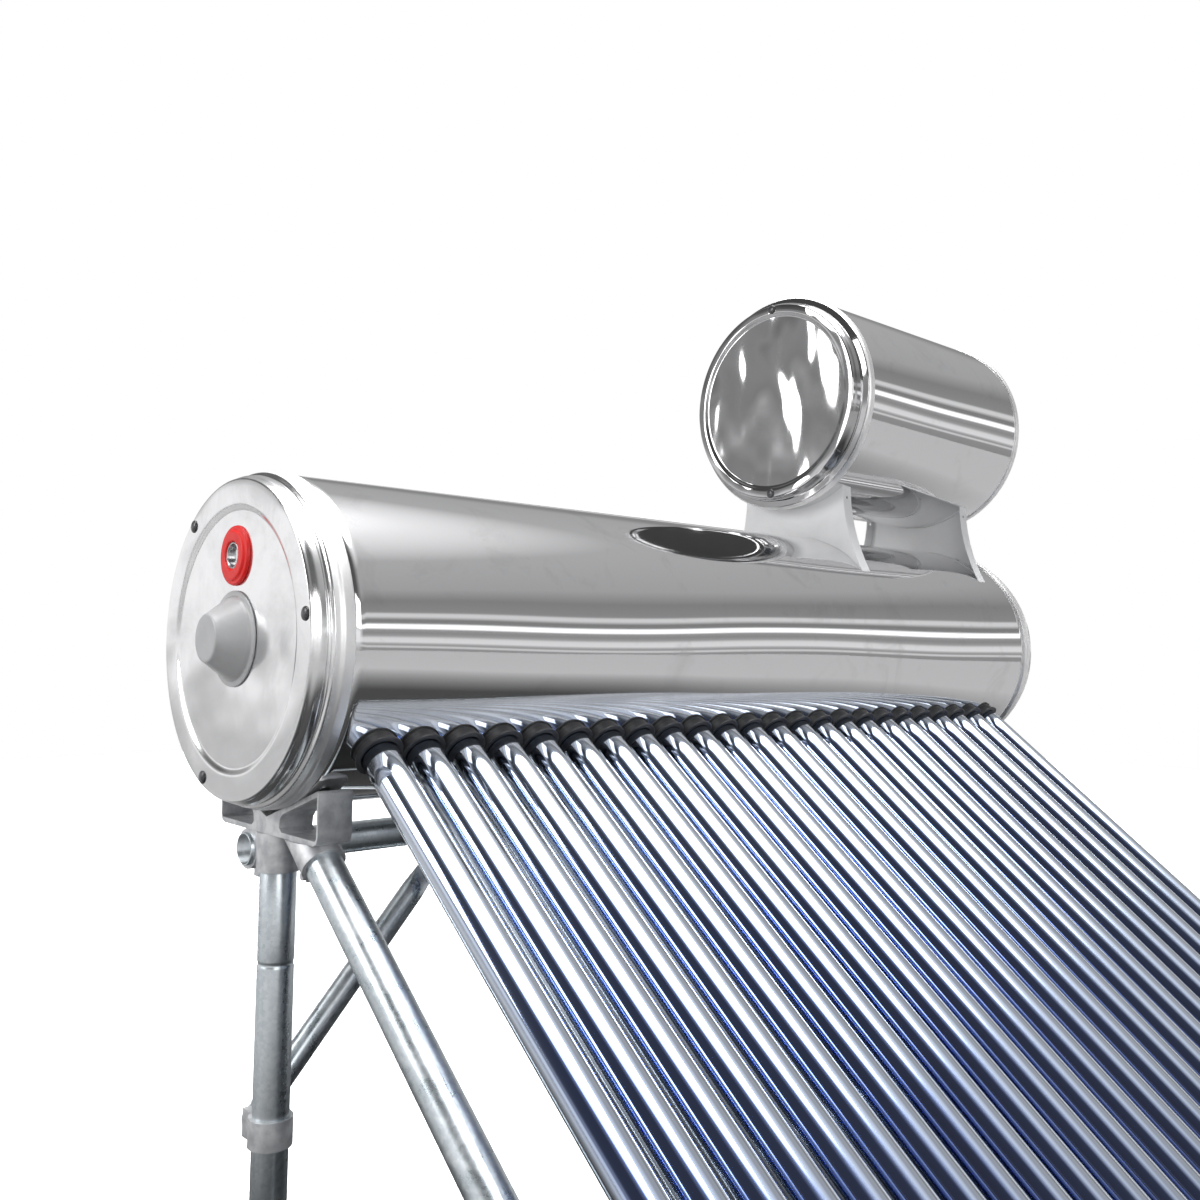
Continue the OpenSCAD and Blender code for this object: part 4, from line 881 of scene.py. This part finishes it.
def pressed_pipe(name, middle, along, flat_normal, reach, radius, half_thick):
    """A pipe whose ends are pressed into flat, round-nosed tabs."""
    width_way = along.cross(flat_normal)
    half = reach / 2
    stations = [half - nose_rings * (1 - math.cos(k * math.pi / 12)) for k in range(7)]
    stations += [half - nose_rings - tab_flat - ring_gap * k for k in range(12)]
    sections = []
    for at in stations:
        from_end = half - at
        nose = min(1.0, from_end / tab_nose)
        width = radius * math.sqrt(max(0.0, 1 - (1 - nose) ** 2)) if nose < 1 else radius
        ease = min(1.0, max(0.0, (from_end - pressed_to) / opened_by))
        ease = ease * ease * (3 - 2 * ease)
        sections.append((at, max(width, 0.001), half_thick + (radius - half_thick) * ease, ease))
    sections += [(-at, width, thick, ease) for at, width, thick, ease in reversed(sections)]
    work = bmesh.new()
    rings = []
    for at, width, thick, ease in sections:
        power = 0.35 + 0.65 * ease
        ring = []
        for k in range(48):
            c, d = math.cos(TURN * k / 48), math.sin(TURN * k / 48)
            across = math.copysign(abs(c) ** (0.8 + 0.2 * ease), c) * width
            deep = math.copysign(abs(d) ** power, d) * thick
            ring.append(work.verts.new(middle + along * at + width_way * across + flat_normal * deep))
        rings.append(ring)
    for low, high in zip(rings, rings[1:]):
        for k in range(48):
            work.faces.new((low[k], low[(k + 1) % 48], high[(k + 1) % 48], high[k]))
    for ring in (rings[0], rings[-1]):
        work.faces.new(ring)
    bmesh.ops.recalc_face_normals(work, faces=work.faces)
    mesh = bpy.data.meshes.new(name)
    work.to_mesh(mesh)
    work.free()
    mesh.shade_smooth()
    mesh.set_sharp_from_angle(angle=math.radians(50))
    return mesh


brace_reach = brace_run / math.cos(brace_angle) + 2 * tab_nose
for side, way in (("left", 1), ("right", -1)):
    low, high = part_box(f"brace_{side}")
    slope = Vector((way * math.cos(brace_angle), 0, math.sin(brace_angle)))
    name = f"brace_pipe_{side}"
    middle, flat_way = (low + high) / 2, Vector((0, 1, 0))
    brace_mesh = pressed_pipe(name, middle, slope, flat_way, brace_reach, brace_r, tab_half)
    piece(name, brace_mesh, upright_zinc, "galvanised", f"brace_{side}")
finish_nodes(sloping_zinc, "front_leg_left", "front_leg_right", "side_struts")
finish_nodes(level_zinc, "lower_beam", "tail_rail")

# ---------- bolts ----------
# Zinc-plated hexagon bolts through the cradles' arms, the clamps and the braces' flattened ends, and pan-head
# screws that hold the stands' feet to the jacket.
bolt_zinc = metal("zinc_plate", (0.66, 0.67, 0.70), 0.28, 0.5, wear_scale=60)
soft_edged("stand_bolts", 0.0008, "zinc_bolts", bolt_zinc, "zinc_bolts")

# ---------- link pipe ----------
# A stainless pipe carries water from the feeder down into the tank. A rubber grommet closes each jacket
# round it.
pipe_steel = metal("drawn_stainless", (0.62, 0.63, 0.64), 0.24, 0.4, wear_scale=30)
finish_nodes(pipe_steel, "link_pipe", "valve_pin")
finish_nodes(rubber, "link_grommets")

# ---------- tail cups ----------
# Black rubber cups over the tubes' tips, set in the tail rail, which keep the glass off the metal.
finish_nodes(rubber, "tail_cups")

# ---------- foam ----------
# Polyurethane foamed in place between tank and jacket: straw-coloured, dull and finely pitted.
foam = moulded("polyurethane_foam", (0.72, 0.60, 0.34), (0.60, 0.48, 0.26), 0.85, scale=30, grain=1.0)
finish_nodes(foam, "tank_foam", "feeder_foam_shell")

# ---------- inner tanks ----------
# Welded from mill-finish stainless sheet, with drawn collars where the tubes' seals sit.
inner_sheet = metal("mill_finish_stainless", (0.55, 0.56, 0.57), 0.3, 0.45)
finish_nodes(inner_sheet, "tank_inner", "feeder_inner")

# ---------- tube seals ----------
# Orange silicone collars, moulded with a groove, that seal each tube in the inner tank's wall.
orange_silicone = moulded("orange_silicone", (0.70, 0.22, 0.04), (0.55, 0.20, 0.06), 0.45, scale=30)
finish_nodes(orange_silicone, "tube_seals")

# ---------- absorbers and spring clips ----------
# The inner glasses carry the dark blue sputtered coating. A stainless spring clip centres each one at its
# end.
absorber_blue = metal("absorber_coating", (0.03, 0.05, 0.22), 0.18, 0.3)
spring_steel = metal("spring_stainless", (0.50, 0.51, 0.52), 0.26, 0.4, wear_scale=40)
finish_nodes(absorber_blue, "absorber_tubes")
finish_nodes(spring_steel, "spring_clips")

# ---------- anode ----------
# A cast magnesium rod screwed in behind the element cover. It corrodes in place of the tank and has a dull
# skin.
magnesium = metal("cast_magnesium", (0.34, 0.35, 0.36), 0.5, 0.7, wear_scale=50)
finish_nodes(magnesium, "anode_rod")

# ---------- float valve ----------
# A machined brass valve in the feeder's right end: an acetal plunger closes the inlet when the orange float,
# on its brass arm, lifts.
brass = metal("machined_brass", (0.62, 0.43, 0.16), 0.24, 0.42, wear_scale=50)
white_acetal = moulded("white_acetal", (0.85, 0.85, 0.82), (0.70, 0.70, 0.68), 0.35)
float_orange = moulded("float_orange", (0.80, 0.22, 0.02), (0.62, 0.20, 0.05), 0.3, coat=0.2)
finish_nodes(brass, "float_valve", "float_arm")
finish_nodes(white_acetal, "valve_plunger")
finish_nodes(float_orange, "float_ball")
